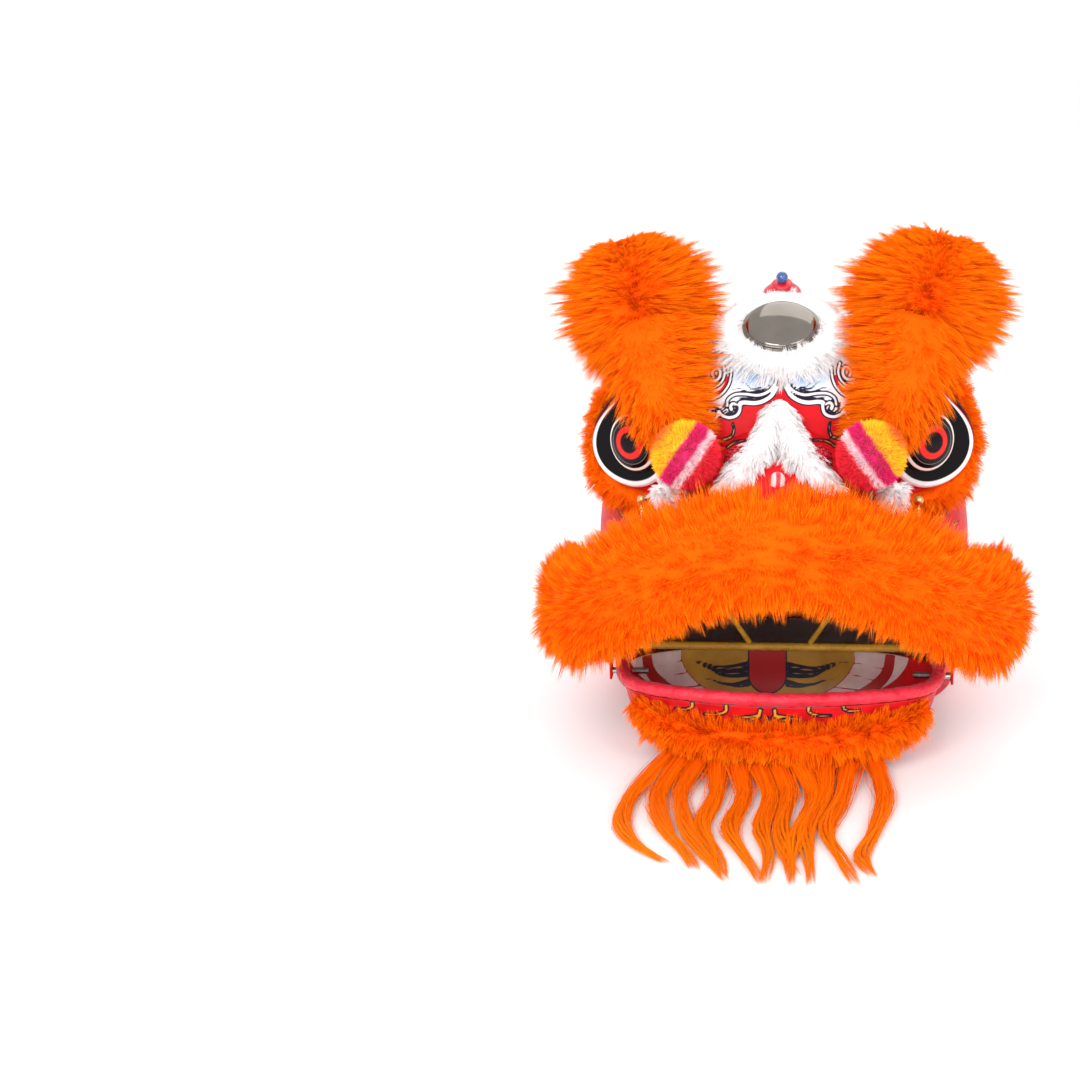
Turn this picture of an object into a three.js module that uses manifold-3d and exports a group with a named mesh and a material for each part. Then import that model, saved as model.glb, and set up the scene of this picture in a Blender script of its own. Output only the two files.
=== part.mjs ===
// A lion dance head at rest on the floor: a hollow papier-mache dome with a wide fur-edged muzzle,
// a hinged lower jaw, fur-rimmed eyes, ears on wire staples, a forehead mirror and a small horn.
// Millimetres, +Z up. The face looks along -Y, and the origin is the middle of the base.
import * as THREE from "three";
import { mergeVertices } from "three/addons/utils/BufferGeometryUtils.js";
import Module from "manifold-3d";

const wasm = await Module();
wasm.setup();

// Driving dimensions

const WALL = 3; // papier-mache wall
const GAP = 0.4; // clearance between pieces that touch
const OUTLINE_POINTS = 20;
const SQUARENESS = 2.4; // exponent of the dome's plan outline, 2 is an ellipse

// Head dome, a row for each level from the neck to the crown.
const DOME_LEVELS = [
  { z: 0, halfWidth: 224, front: 40, back: 379 },
  { z: 180, halfWidth: 236, front: 0, back: 368 },
  { z: 270, halfWidth: 228, front: -12, back: 345 },
  { z: 340, halfWidth: 212, front: -14, back: 318 },
  { z: 400, halfWidth: 180, front: -2, back: 285 },
  { z: 445, halfWidth: 140, front: 28, back: 252 },
  { z: 478, halfWidth: 95, front: 66, back: 217 },
  { z: 497, halfWidth: 50, front: 104, back: 182 },
  { z: 503, halfWidth: 14, front: 131, back: 155 },
];
const NECK_RIM = { height: 10, outside: 1, inside: 9 };
const MOUTH_PASSAGE = { halfWidth: 190, back: 85, top: 250 };

// Muzzle: a half oval in plan whose lower edge falls from the middle to the mouth corners.
const MUZZLE = {
  halfWidth: 215,
  reach: 135,
  centreY: -20,
  edgeZ: 240,
  edgeDrop: 120,
  turn: 105,
  stations: 17,
};
const MUZZLE_PROFILE = [
  { out: 3, up: 0 },
  { out: 27, up: 42 },
  { out: 24, up: 84 },
  { out: -14, up: 120 },
];
const MUZZLE_ROOT = { halfWidth: 195, y: 45, sideBack: 65, z: 405, drop: 210 };
const MUZZLE_CORE = 30; // depth behind the muzzle's face that fur is kept out of
const HEAD_MIDDLE = new THREE.Vector3(0, 60, 200);

// Lower jaw: a bowl with a flat foot, a row for each level from the foot to the rim.
const JAW_LEVELS = [
  { rise: 0, halfWidth: 118, front: -72, back: 32 },
  { rise: 0.42, halfWidth: 174, front: -105, back: 58 },
  { rise: 1, halfWidth: 193, front: -117, back: 70 },
];
const JAW_SQUARENESS = 2.05;
const JAW_RIM = { frontZ: 88, sideZ: 82, cornerZ: 94, backZ: 88 };
const LIP_RADIUS = 8;
const LIP_END = -4;
const JAW_SWEEP = { halfWidth: 206, front: -131, back: 80, top: 172 };
const HINGE = { y: 0, z: 80, radius: 4, clearance: 0.5, inner: 162 };
const HINGE_TAB_ROWS = [
  { inner: 207, outer: 215, front: -15, back: 38, bottom: 97, top: 158 },
  { inner: 207, outer: 210, front: -9, back: 9, bottom: 71, top: 120 },
];

// Chin fur: a strip round the front of the bowl that climbs to the lip at its sides.
const CHIN = { out: 9, z: 40, sideRise: 32, turn: 70, wide: 31, deep: 27 };

// Frame sticks that show inside the mouth.
const STICK_RADIUS = 5;
const STRUT_RADIUS = 3.5;
const MOUTH_BAR = { y: 26, z: 104 };
const STRUT = { footX: 34, headX: 150, headY: -8, headZ: 300 };

// Eye, measured in its own plane: across points outwards, up points up, face is its normal.
const EYE = { x: 176, y: 24, z: 372, turnOut: 32, lift: 0.1, depth: 70 };
const EYE_BALL = { across: -6, up: 1, radius: 38, height: 17 };

// Forehead mirror and horn
const MIRROR = { y: 98, z: 493.6, tilt: 26, radius: 44, rim: 4, crown: 12 };
const HORN = { y: 206, z: 487, lean: 20, ballRadius: 7.5 };
const HORN_PROFILE = [
  { radius: 20, up: 0 },
  { radius: 24, up: 10 },
  { radius: 22, up: 24 },
  { radius: 24, up: 27 },
  { radius: 22, up: 31 },
  { radius: 15, up: 38 },
  { radius: 11, up: 44 },
];

// Ear: a fur leaf on a wire staple, with its long axis leaning outwards.
const EAR = { x: 160, y: 132, z: 452, out: 0.24, back: 0.08, rise: 0.97 };
const EAR_LEAF = [
  { along: -8, wide: 12, deep: 9 },
  { along: 6, wide: 46, deep: 16 },
  { along: 24, wide: 86, deep: 24 },
  { along: 50, wide: 102, deep: 31 },
  { along: 80, wide: 103, deep: 33 },
  { along: 108, wide: 90, deep: 30 },
  { along: 132, wide: 61, deep: 21 },
  { along: 147, wide: 24, deep: 9 },
];
const STAPLE = { radius: 2, bore: 2.8, halfSpan: 34, leg: 50 };

const POMPOM = { x: 104, y: -98, z: 392, radius: 41, stemRadius: 2.5 };
const NOSTRIL = { x: 45, y: -73, z: 378, radius: 17 };
const NOSE_TIP = { y: -120, z: 364, width: 11, height: 15 };
const TUFT = { x: 130, y: -84, z: 344, radius: 19 };
const BEAD = { x: 160, y: -48, z: 322, radius: 6, wire: 1.6 };

// Beard locks: where each one starts and swings to, in X, and how far forward its tip lies.
const BEARD_LOCKS = [
  { root: -128, bow: -166, waist: -174, turn: -146, tip: -117, reach: -338 },
  { root: -112, bow: -138, waist: -126, turn: -101, tip: -85, reach: -351 },
  { root: -92, bow: -111, waist: -102, turn: -80, tip: -50, reach: -374 },
  { root: -72, bow: -70, waist: -82, turn: -65, tip: -54, reach: -368 },
  { root: -46, bow: -37, waist: -51, turn: -35, tip: -12, reach: -378 },
  { root: -22, bow: -8, waist: -16, turn: -6, tip: -12, reach: -378 },
  { root: 2, bow: 14, waist: 4, turn: 13, tip: 24, reach: -356 },
  { root: 28, bow: 44, waist: 26, turn: 18, tip: 18, reach: -378 },
  { root: 56, bow: 54, waist: 34, turn: 37, tip: 38, reach: -378 },
  { root: 84, bow: 74, waist: 58, turn: 68, tip: 88, reach: -374 },
  { root: 114, bow: 124, waist: 112, turn: 92, tip: 108, reach: -356 },
];
const BEARD = { bowY: -185, waistY: -255, turnY: -312, rootZ: 15 };
const BEARD_LOCK = { rootWide: 14, rootDeep: 6.2, tipWide: 6, tipDeep: 2 };

// Finishes

const finish = (color, roughness, metalness = 0) =>
  new THREE.MeshStandardMaterial({ color, roughness, metalness });
const ORANGE_FUR = finish(0xff6a00, 0.95);
const ORANGE_HAIR = finish(0xff5a00, 0.7);
const WHITE_FUR = finish(0xf7eeee, 0.95);
const STRIPED_WOOL = finish(0xd8125e, 0.95);
const RED_PAINT = finish(0xd81b22, 0.45);
const RED_CLOTH = finish(0xe0203c, 0.6);
const JAW_PAINT = finish(0xd9b23a, 0.4);
const YELLOW_TAPE = finish(0xd9a320, 0.6);
const BLACK_LACQUER = finish(0x14110f, 0.2);
const EYE_GLOSS = finish(0xb01410, 0.1);
const MIRROR_GLASS = finish(0xc8c8c8, 0.05, 1);
const BLUE_GLASS = finish(0x2a5a9a, 0.1);
const RED_SEQUIN = finish(0xc2152a, 0.35);
const GOLD_BEAD = finish(0xc9973a, 0.3, 0.8);
const WIRE = finish(0x8a8a8a, 0.4, 1);

// Small helpers

const rad = THREE.MathUtils.degToRad;
const vec = (x, y, z) => new THREE.Vector3(x, y, z);
const mix = THREE.MathUtils.lerp;
const line = (points, closed = false) => new THREE.CatmullRomCurve3(points, closed, "centripetal");

class FormulaCurve extends THREE.Curve {
  constructor(formula) {
    super();
    this.formula = formula;
  }
  getPoint(t) {
    return this.formula(t);
  }
}

// A closed geometry from points and triangles, turned so that its faces point out.
function closedGeometry(points, triangles) {
  let volume = 0;
  for (const [a, b, c] of triangles) volume += points[a].dot(points[b].clone().cross(points[c]));
  const index = triangles.flatMap(([a, b, c]) => (volume > 0 ? [a, b, c] : [a, c, b]));
  return new THREE.BufferGeometry().setFromPoints(points).setIndex(index);
}

// The two triangles of a quad, split along its shorter diagonal so that both sides of the head match.
function splitQuad(points, a, b, c, d) {
  const shorter = points[a].distanceTo(points[c]) <= points[b].distanceTo(points[d]);
  return shorter ? [[a, b, c], [a, c, d]] : [[a, b, d], [b, c, d]];
}

// Rings of points joined into a body, with its ends capped, or joined up where the path is closed.
function loft(rings, closed = false) {
  const sides = rings[0].length;
  const points = rings.flat();
  const triangles = [];
  const at = (i, k) => (i % rings.length) * sides + (k % sides);
  for (let i = 0; i < rings.length - (closed ? 0 : 1); i++)
    for (let k = 0; k < sides; k++)
      triangles.push(...splitQuad(points, at(i, k), at(i + 1, k), at(i + 1, k + 1), at(i, k + 1)));
  if (!closed)
    for (const [i, turned] of [[0, false], [rings.length - 1, true]]) {
      const middle = rings[i].reduce((sum, p) => sum.add(p), vec(0, 0, 0)).divideScalar(sides);
      const centre = points.push(middle) - 1;
      for (let k = 0; k < sides; k++)
        triangles.push(turned ? [centre, at(i, k + 1), at(i, k)] : [centre, at(i, k), at(i, k + 1)]);
    }
  return closedGeometry(points, triangles);
}

// A sheet of grid points given thickness: outside is added along the normal, inside behind it.
function thickSheet(grid, outside, inside) {
  const rows = grid.length;
  const columns = grid[0].length;
  const { clamp } = THREE.MathUtils;
  const near = (i, j) => grid[clamp(i, 0, rows - 1)][clamp(j, 0, columns - 1)];
  const layer = (offset) =>
    grid.flatMap((row, i) =>
      row.map((point, j) => {
        const along = near(i + 1, j).clone().sub(near(i - 1, j));
        const normal = near(i, j + 1).clone().sub(near(i, j - 1)).cross(along).normalize();
        if (normal.dot(point.clone().sub(HEAD_MIDDLE)) < 0) normal.negate();
        return point.clone().addScaledVector(normal, offset);
      }),
    );
  const points = [...layer(outside), ...layer(-inside)];
  const back = rows * columns;
  const at = (i, j) => i * columns + j;
  const triangles = [];
  const quad = (...corners) => triangles.push(...splitQuad(points, ...corners));
  for (let i = 0; i < rows - 1; i++)
    for (let j = 0; j < columns - 1; j++) {
      quad(at(i, j), at(i + 1, j), at(i + 1, j + 1), at(i, j + 1));
      quad(back + at(i, j + 1), back + at(i + 1, j + 1), back + at(i + 1, j), back + at(i, j));
    }
  const border = [];
  for (let i = 0; i < rows - 1; i++) border.push(at(i, 0));
  for (let j = 0; j < columns - 1; j++) border.push(at(rows - 1, j));
  for (let i = rows - 1; i > 0; i--) border.push(at(i, columns - 1));
  for (let j = columns - 1; j > 0; j--) border.push(at(0, j));
  border.forEach((a, n) => {
    const b = border[(n + 1) % border.length];
    quad(b, a, back + a, back + b);
  });
  return closedGeometry(points, triangles);
}

// Solids for joining and cutting

function solid(geometry) {
  const bare = geometry.clone();
  bare.deleteAttribute("normal");
  bare.deleteAttribute("uv");
  const merged = mergeVertices(bare, 1e-4);
  return new wasm.Manifold(
    new wasm.Mesh({
      numProp: 3,
      vertProperties: merged.attributes.position.array,
      triVerts: new Uint32Array(merged.index.array),
    }),
  );
}

function geometryOf(body) {
  const mesh = body.getMesh();
  return new THREE.BufferGeometry()
    .setAttribute("position", new THREE.BufferAttribute(mesh.vertProperties.slice(), 3))
    .setIndex(new THREE.BufferAttribute(mesh.triVerts.slice(), 1));
}

const joined = (...geometries) => geometryOf(geometries.map(solid).reduce((a, b) => a.add(b)));

// What is left of a geometry after cutters are taken away. Only its largest piece is kept.
function cut(geometry, ...cutters) {
  const left = cutters.map(solid).reduce((a, b) => a.subtract(b), solid(geometry));
  const pieces = left.decompose().sort((a, b) => b.volume() - a.volume());
  return geometryOf(pieces[0]);
}

function mirrored(geometry) {
  const copy = geometry.clone().scale(-1, 1, 1);
  const index = copy.index.array;
  for (let i = 0; i < index.length; i += 3) [index[i], index[i + 1]] = [index[i + 1], index[i]];
  return copy;
}

function box(low, high) {
  const size = high.clone().sub(low);
  const middle = low.clone().add(high).divideScalar(2);
  return new THREE.BoxGeometry(size.x, size.y, size.z).translate(middle.x, middle.y, middle.z);
}

// A round rod between two points.
function rod(from, to, radius, sides = 10) {
  const axis = to.clone().sub(from);
  const turn = new THREE.Quaternion().setFromUnitVectors(vec(0, 1, 0), axis.clone().normalize());
  const middle = from.clone().add(to).divideScalar(2);
  return new THREE.CylinderGeometry(radius, radius, axis.length(), sides)
    .applyQuaternion(turn)
    .translate(middle.x, middle.y, middle.z);
}

// A turned piece: a profile of radius and height rows, set up along an axis from a foot point.
function turned(profile, foot, axis, sides = 20) {
  const last = profile[profile.length - 1];
  const points = [
    new THREE.Vector2(0, profile[0].up),
    ...profile.map((row) => new THREE.Vector2(row.radius, row.up)),
    new THREE.Vector2(0, last.up),
  ];
  const turn = new THREE.Quaternion().setFromUnitVectors(vec(0, 1, 0), axis);
  return new THREE.LatheGeometry(points, sides).applyQuaternion(turn).translate(foot.x, foot.y, foot.z);
}

// A rounded cap, from its flat base up to its crown, as profile rows.
function capProfile(radius, height, rim, steps = 4) {
  const rows = [{ radius, up: 0 }];
  for (let i = 0; i < steps; i++) {
    const angle = (i / steps) * (Math.PI / 2);
    rows.push({ radius: radius * Math.cos(angle), up: rim + (height - rim) * Math.sin(angle) });
  }
  rows.push({ radius: radius * 0.12, up: height });
  return rows;
}

// A plan outline of a level: a rounded oval between its front, back and sides, at height z.
function outline(level, z, squareness, grow = 0) {
  const halfWidth = level.halfWidth + grow;
  const halfDepth = (level.back - level.front) / 2 + grow;
  const middle = (level.back + level.front) / 2;
  const round = (value) => Math.sign(value) * Math.abs(value) ** (2 / squareness);
  return Array.from({ length: OUTLINE_POINTS }, (_, k) => {
    const angle = (2 * Math.PI * k) / OUTLINE_POINTS;
    const x = halfWidth * round(Math.cos(angle));
    const y = middle + halfDepth * round(Math.sin(angle));
    return vec(x, y, typeof z === "function" ? z(y) : z);
  });
}

// A strip of fur along a path. Every second point of its rings is the tip of a lock, at the full size
// and combed over, and the points between are the partings. A smooth strip has its outer form alone.
function fur(options) {
  const { path, stations, sides, size, facing, comb } = options;
  const { closed = false, parting = 0.16, grow = 0, smooth = false } = options;
  const rings = Array.from({ length: stations }, (_, i) => {
    const t = i / (closed ? stations : stations - 1);
    const centre = path.getPoint(t);
    const along = path.getTangent(t);
    const out = facing(t, centre).clone();
    out.addScaledVector(along, -out.dot(along)).normalize();
    const across = along.clone().cross(out);
    const { wide, deep } = size(t);
    return Array.from({ length: sides }, (_unused, k) => {
      const angle = (2 * Math.PI * k) / sides;
      const tip = smooth || (i + k) % 2 === 0;
      const reach = tip ? 1 : 1 - parting;
      const point = centre.clone();
      point.addScaledVector(across, Math.cos(angle) * (wide + grow) * reach);
      point.addScaledVector(out, Math.sin(angle) * (deep + grow) * reach);
      return tip && comb ? point.add(comb) : point;
    });
  });
  return loft(rings, closed);
}

// Sizes for a strip that is full in its middle and rounded off at both ends.
const roundedEnds = (wide, deep, ends = 0.3) => (t) => {
  const full = Math.min(1, Math.sqrt(Math.sin(Math.PI * t)) + ends * 0.5);
  const share = Math.max(ends, full);
  return { wide: wide * share, deep: deep * share };
};

// A ball of short trimmed locks.
const furBall = (centre, radius, stations, sides, parting) => {
  const axis = vec(0, 0, radius);
  return fur({
    path: new THREE.LineCurve3(centre.clone().sub(axis), centre.clone().add(axis)),
    stations,
    sides,
    parting,
    facing: () => vec(0, -1, 0),
    size: (t) => {
      const share = Math.max(0.22, Math.sqrt(Math.max(0, 1 - (2 * t - 1) ** 2)));
      return { wide: radius * share, deep: radius * share };
    },
  });
};

// Dome and neck

function dome(grow, floorZ) {
  const height = (level, i) => (i === 0 ? floorZ : level.z + grow);
  return loft(DOME_LEVELS.map((level, i) => outline(level, height(level, i), SQUARENESS, grow)));
}

const domeBlock = dome(GAP, -20);
const mouthPassage = box(
  vec(-MOUTH_PASSAGE.halfWidth, -200, -30),
  vec(MOUTH_PASSAGE.halfWidth, MOUTH_PASSAGE.back, MOUTH_PASSAGE.top),
);

function headShell() {
  return cut(dome(0, NECK_RIM.height + GAP), dome(-WALL, -10), mouthPassage);
}

function neckRim() {
  const ring = (grow) => outline(DOME_LEVELS[0], 0, SQUARENESS, grow).map((p) => new THREE.Vector2(p.x, p.y));
  const shape = new THREE.Shape(ring(NECK_RIM.outside));
  shape.holes.push(new THREE.Path(ring(-NECK_RIM.inside)));
  const hoop = new THREE.ExtrudeGeometry(shape, { depth: NECK_RIM.height, bevelEnabled: false });
  return cut(hoop, mouthPassage);
}

// Muzzle

const muzzleEdge = (angle) => {
  const side = Math.sin(angle);
  const fore = Math.cos(angle);
  return vec(
    MUZZLE.halfWidth * side,
    MUZZLE.centreY - MUZZLE.reach * fore,
    MUZZLE.edgeZ - MUZZLE.edgeDrop * side * side,
  );
};
const muzzleOutward = (angle) =>
  vec(MUZZLE.reach * Math.sin(angle), -MUZZLE.halfWidth * Math.cos(angle), 0).normalize();

function muzzleGrid() {
  return Array.from({ length: MUZZLE.stations }, (_, i) => {
    const angle = rad(mix(-MUZZLE.turn, MUZZLE.turn, i / (MUZZLE.stations - 1)));
    const side = Math.sin(angle);
    const face = MUZZLE_PROFILE.map((row) =>
      muzzleEdge(angle).addScaledVector(muzzleOutward(angle), row.out).add(vec(0, 0, row.up)),
    );
    const root = vec(
      MUZZLE_ROOT.halfWidth * side,
      MUZZLE_ROOT.y + MUZZLE_ROOT.sideBack * side * side,
      MUZZLE_ROOT.z - MUZZLE_ROOT.drop * side * side,
    );
    const roof = face[face.length - 1].clone().lerp(root, 0.5).add(vec(0, 0, 8));
    return [...face, roof, root];
  });
}

const muzzleBlock = thickSheet(muzzleGrid(), GAP, MUZZLE_CORE);
const muzzleSkin = thickSheet(muzzleGrid(), GAP, WALL + GAP);

function upperJaw() {
  const tab = hingeTab(0);
  const sheet = thickSheet(muzzleGrid(), 0, WALL);
  return cut(joined(sheet, tab, mirrored(tab)), domeBlock);
}

// The tab on the +X side that carries the mouth bar and the jaw's pin.
const hingeTab = (grow) =>
  joined(
    ...HINGE_TAB_ROWS.map((row) =>
      box(
        vec(row.inner - grow, row.front - grow, row.bottom - grow),
        vec(row.outer + grow, row.back + grow, row.top + grow),
      ),
    ),
  );

const jawSweep = loft([
  outline(JAW_SWEEP, -40, JAW_SQUARENESS),
  outline(JAW_SWEEP, JAW_SWEEP.top, JAW_SQUARENESS),
]);

// The thick fur that hangs over the muzzle from corner to corner.
function mouthStrip(options) {
  const turn = rad(MUZZLE.turn + 9);
  const angleAt = (t) => mix(-turn, turn, t);
  return fur({
    path: new FormulaCurve((t) => {
      const angle = angleAt(t);
      const lift = 57 + 16 * Math.max(0, Math.cos(angle)) ** 2;
      return muzzleEdge(angle).addScaledVector(muzzleOutward(angle), 38).add(vec(0, 0, lift));
    }),
    stations: 23,
    sides: 10,
    facing: (t) => muzzleOutward(angleAt(t)),
    size: (t) => {
      const end = Math.abs(2 * t - 1);
      const taper = end < 0.86 ? 1 : Math.sqrt(1 - ((end - 0.86) / 0.15) ** 2);
      return { wide: mix(80, 66, end) * taper, deep: 43 * taper };
    },
    comb: vec(0, 0, -5),
    ...options,
  });
}

const mouthFurClear = mouthStrip({ smooth: true, grow: 5, sides: 8, stations: 17 });

function mouthFur() {
  return cut(mouthStrip({}), muzzleBlock, domeBlock, jawSweep, hingeTab(GAP), mirrored(hingeTab(GAP)));
}

// Nose

function noseFur() {
  const arm = fur({
    path: line([vec(0, 4, 418), vec(6, -36, 404), vec(27, -82, 378), vec(58, -114, 350)]),
    stations: 7,
    sides: 8,
    facing: () => vec(0, -0.6, 1),
    size: roundedEnds(26, 27, 0.5),
    comb: vec(0, -2, -3),
  });
  const clear = pompomClear();
  const small = [noseClear(NOSE_TIP.height + 1), nostrilClear, mirrored(nostrilClear)];
  const trimmed = cut(joined(arm, mirrored(arm)), muzzleBlock, domeBlock, mouthFurClear, ...small);
  return cut(trimmed, clear, mirrored(clear));
}

const noseClear = (radius) =>
  rod(vec(0, NOSE_TIP.y - 40, NOSE_TIP.z), vec(0, NOSE_TIP.y + 30, NOSE_TIP.z), radius, 8);

function noseTip() {
  const knob = turned(
    [
      { radius: 5, up: 0 },
      { radius: NOSE_TIP.width, up: 9 },
      { radius: NOSE_TIP.width * 0.9, up: 20 },
      { radius: 5, up: 2 * NOSE_TIP.height },
    ],
    vec(0, NOSE_TIP.y, NOSE_TIP.z - NOSE_TIP.height),
    vec(0, 0, 1),
    12,
  );
  return cut(knob, muzzleBlock);
}

const nostrilBall = (radius, sides, rows) =>
  new THREE.SphereGeometry(radius, sides, rows).translate(NOSTRIL.x, NOSTRIL.y, NOSTRIL.z);

const nostril = () => cut(nostrilBall(NOSTRIL.radius, 10, 8), muzzleBlock);

const nostrilClear = nostrilBall(NOSTRIL.radius + 2.5, 8, 5);

// Pompoms, tufts and beads on the muzzle

const pompom = () => furBall(vec(POMPOM.x, POMPOM.y, POMPOM.z), POMPOM.radius, 9, 10, 0.05);

const pompomClear = () =>
  new THREE.SphereGeometry(POMPOM.radius + 4, 10, 6).translate(POMPOM.x, POMPOM.y, POMPOM.z);

function pompomStem() {
  const top = vec(POMPOM.x, POMPOM.y, POMPOM.z - POMPOM.radius - GAP);
  return cut(rod(top.clone().add(vec(0, 0, -60)), top, POMPOM.stemRadius, 8), muzzleBlock);
}

function tuft() {
  const ball = furBall(vec(TUFT.x, TUFT.y, TUFT.z), TUFT.radius, 7, 8, 0.2);
  return cut(ball, muzzleBlock, mouthFurClear, pompomClear());
}

function cheekBead() {
  const place = vec(BEAD.x, BEAD.y, BEAD.z);
  const ball = new THREE.SphereGeometry(BEAD.radius, 7, 5).translate(place.x, place.y, place.z);
  const wire = rod(place.clone().add(vec(0, 0, -70)), place, BEAD.wire, 6);
  return cut(joined(ball, wire), muzzleBlock, mouthFurClear);
}

// Eyes, made on the +X side

const eyeFace = vec(Math.sin(rad(EYE.turnOut)), -Math.cos(rad(EYE.turnOut)), EYE.lift).normalize();
const eyeAcross = vec(Math.cos(rad(EYE.turnOut)), Math.sin(rad(EYE.turnOut)), 0);
const eyeUp = eyeFace.clone().cross(eyeAcross).normalize();
const eyePoint = (across, up, out = 0) =>
  vec(EYE.x, EYE.y, EYE.z)
    .addScaledVector(eyeAcross, across)
    .addScaledVector(eyeUp, up)
    .addScaledVector(eyeFace, out);

// The teardrop outline of the eye, pointed at its outer top.
function eyeDrop(scale) {
  const drop = new THREE.Shape();
  drop.moveTo(20, 68);
  drop.bezierCurveTo(40, 44, 68, 22, 66, -12);
  drop.bezierCurveTo(62, -48, 26, -60, 0, -59);
  drop.bezierCurveTo(-34, -57, -60, -30, -58, 0);
  drop.bezierCurveTo(-56, 30, -20, 56, 20, 68);
  return drop.getPoints(4).slice(0, -1).map((p) => p.multiplyScalar(scale));
}

function eyeBlock(grow) {
  const ring = (scale, out) => eyeDrop(scale).map((p) => eyePoint(p.x, p.y, out));
  const larger = 1 + grow / 55;
  return loft([
    ring(1.08 * larger, -EYE.depth),
    ring(1.04 * larger, -14),
    ring(larger, grow - 5),
    ring(0.94 * larger, grow),
  ]);
}

const eyeSocket = () => cut(eyeBlock(0), domeBlock);

function eyeBall() {
  const foot = eyePoint(EYE_BALL.across, EYE_BALL.up, GAP);
  return turned(capProfile(EYE_BALL.radius, EYE_BALL.height, 3), foot, eyeFace, 14);
}

// The brow: a curtain of fur from below the ear down over the inner half of the eye.
const browStrip = (options) =>
  fur({
    path: line([
      vec(170, 78, 466),
      vec(160, 46, 452),
      vec(144, 11, 428),
      vec(130, -8, 398),
      vec(121, -10, 362),
    ]),
    stations: 9,
    sides: 8,
    facing: () => vec(0.3, -1, 0.5),
    size: (t) => {
      const share = Math.min(1, 0.62 + 2.4 * t);
      return { wide: mix(80, 24, Math.sqrt(t) * t ** 0.25) * share, deep: mix(28, 13, t * t) * share };
    },
    comb: vec(0, -2, -5),
    ...options,
  });

const browFur = () => cut(browStrip({}), domeBlock, eyeBlock(GAP), eyeBallClear, muzzleBlock, pompomClear());

const eyeBallClear = turned(
  capProfile(EYE_BALL.radius + 4, EYE_BALL.height + 5, 6, 3),
  eyePoint(EYE_BALL.across, EYE_BALL.up, 0),
  eyeFace,
  10,
);

// The fur round the outer side of the eye and over the cheek.
function eyeFur() {
  const strip = fur({
    path: line([
      eyePoint(8, 88, -34),
      eyePoint(44, 66, -38),
      eyePoint(66, 30, -40),
      eyePoint(72, -8, -36),
      eyePoint(56, -52, -26),
      eyePoint(4, -74, -20),
      eyePoint(-46, -70, -20),
    ]),
    stations: 13,
    sides: 8,
    facing: () => eyeFace,
    size: roundedEnds(24, 32),
    comb: vec(1, 0, -5),
  });
  const browClear = [undefined, vec(0, -2, -5)].map((comb) => browStrip({ smooth: true, grow: 3, comb }));
  return cut(strip, domeBlock, eyeBlock(GAP), ...browClear, muzzleBlock);
}

// Ears, made on the +X side

const earFoot = vec(EAR.x, EAR.y, EAR.z);
const earAlong = vec(EAR.out, EAR.back, EAR.rise).normalize();
const earAcross = vec(EAR.rise, 0, -EAR.out).normalize();
const earFace = earAcross.clone().cross(earAlong).normalize();

function ear() {
  const row = (t) => {
    const place = t * (EAR_LEAF.length - 1);
    const i = Math.min(EAR_LEAF.length - 2, Math.floor(place));
    const share = place - i;
    const blend = (column) => mix(EAR_LEAF[i][column], EAR_LEAF[i + 1][column], share);
    return { along: blend("along"), wide: blend("wide"), deep: blend("deep") };
  };
  const leaf = fur({
    path: new FormulaCurve((t) => earFoot.clone().addScaledVector(earAlong, row(t).along)),
    stations: 2 * EAR_LEAF.length - 1,
    sides: 10,
    facing: () => earFace,
    size: (t) => row(t),
    parting: 0.13,
  });
  const bore = rod(earPoint(-60), earPoint(60), STAPLE.bore, 8);
  return cut(leaf, bore);
}

const earPoint = (across, along = 0) =>
  earFoot.clone().addScaledVector(earAcross, across).addScaledVector(earAlong, along);

function earStaple() {
  const corner = (side) => [earPoint(side * STAPLE.halfSpan), earPoint(side * (STAPLE.halfSpan + 4), -4)];
  const foot = (side) => earPoint(side * (STAPLE.halfSpan + 4), -STAPLE.leg);
  const points = [foot(-1), ...corner(-1).reverse(), ...corner(1), foot(1)];
  const rings = points.map((point, i) => {
    const along = points[Math.min(i + 1, 5)].clone().sub(points[Math.max(i - 1, 0)]).normalize();
    const across = along.clone().cross(earFace);
    return Array.from({ length: 6 }, (_, k) => {
      const angle = (k * Math.PI) / 3;
      return point
        .clone()
        .addScaledVector(across, STAPLE.radius * Math.cos(angle))
        .addScaledVector(earFace, STAPLE.radius * Math.sin(angle));
    });
  });
  return cut(loft(rings), domeBlock);
}

// Forehead mirror and horn

const mirrorFace = vec(0, -Math.sin(rad(MIRROR.tilt)), Math.cos(rad(MIRROR.tilt)));
const mirrorBack = vec(0, Math.cos(rad(MIRROR.tilt)), Math.sin(rad(MIRROR.tilt)));
const mirrorFoot = vec(0, MIRROR.y, MIRROR.z).addScaledVector(mirrorFace, GAP);
const mirrorPoint = (up) => mirrorFoot.clone().addScaledVector(mirrorFace, up);

function mirror() {
  const plate = turned(capProfile(MIRROR.radius, MIRROR.crown, MIRROR.rim), mirrorFoot, mirrorFace, 18);
  return cut(plate, domeBlock);
}

function mirrorFur() {
  const collar = fur({
    path: new FormulaCurve((t) => {
      const angle = 2 * Math.PI * t;
      const length = 62 + 5 * Math.max(0, -Math.cos(angle));
      return mirrorFoot
        .clone()
        .addScaledVector(vec(1, 0, 0), 63 * Math.sin(angle))
        .addScaledVector(mirrorBack, length * Math.cos(angle))
        .addScaledVector(mirrorFace, -9);
    }),
    closed: true,
    stations: 18,
    sides: 6,
    facing: () => mirrorFace,
    size: () => ({ wide: 19, deep: 21 }),
    comb: vec(0, -2, -2),
  });
  const clear = rod(mirrorPoint(-30), mirrorPoint(40), MIRROR.radius + 2, 14);
  return cut(collar, domeBlock, clear);
}

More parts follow.
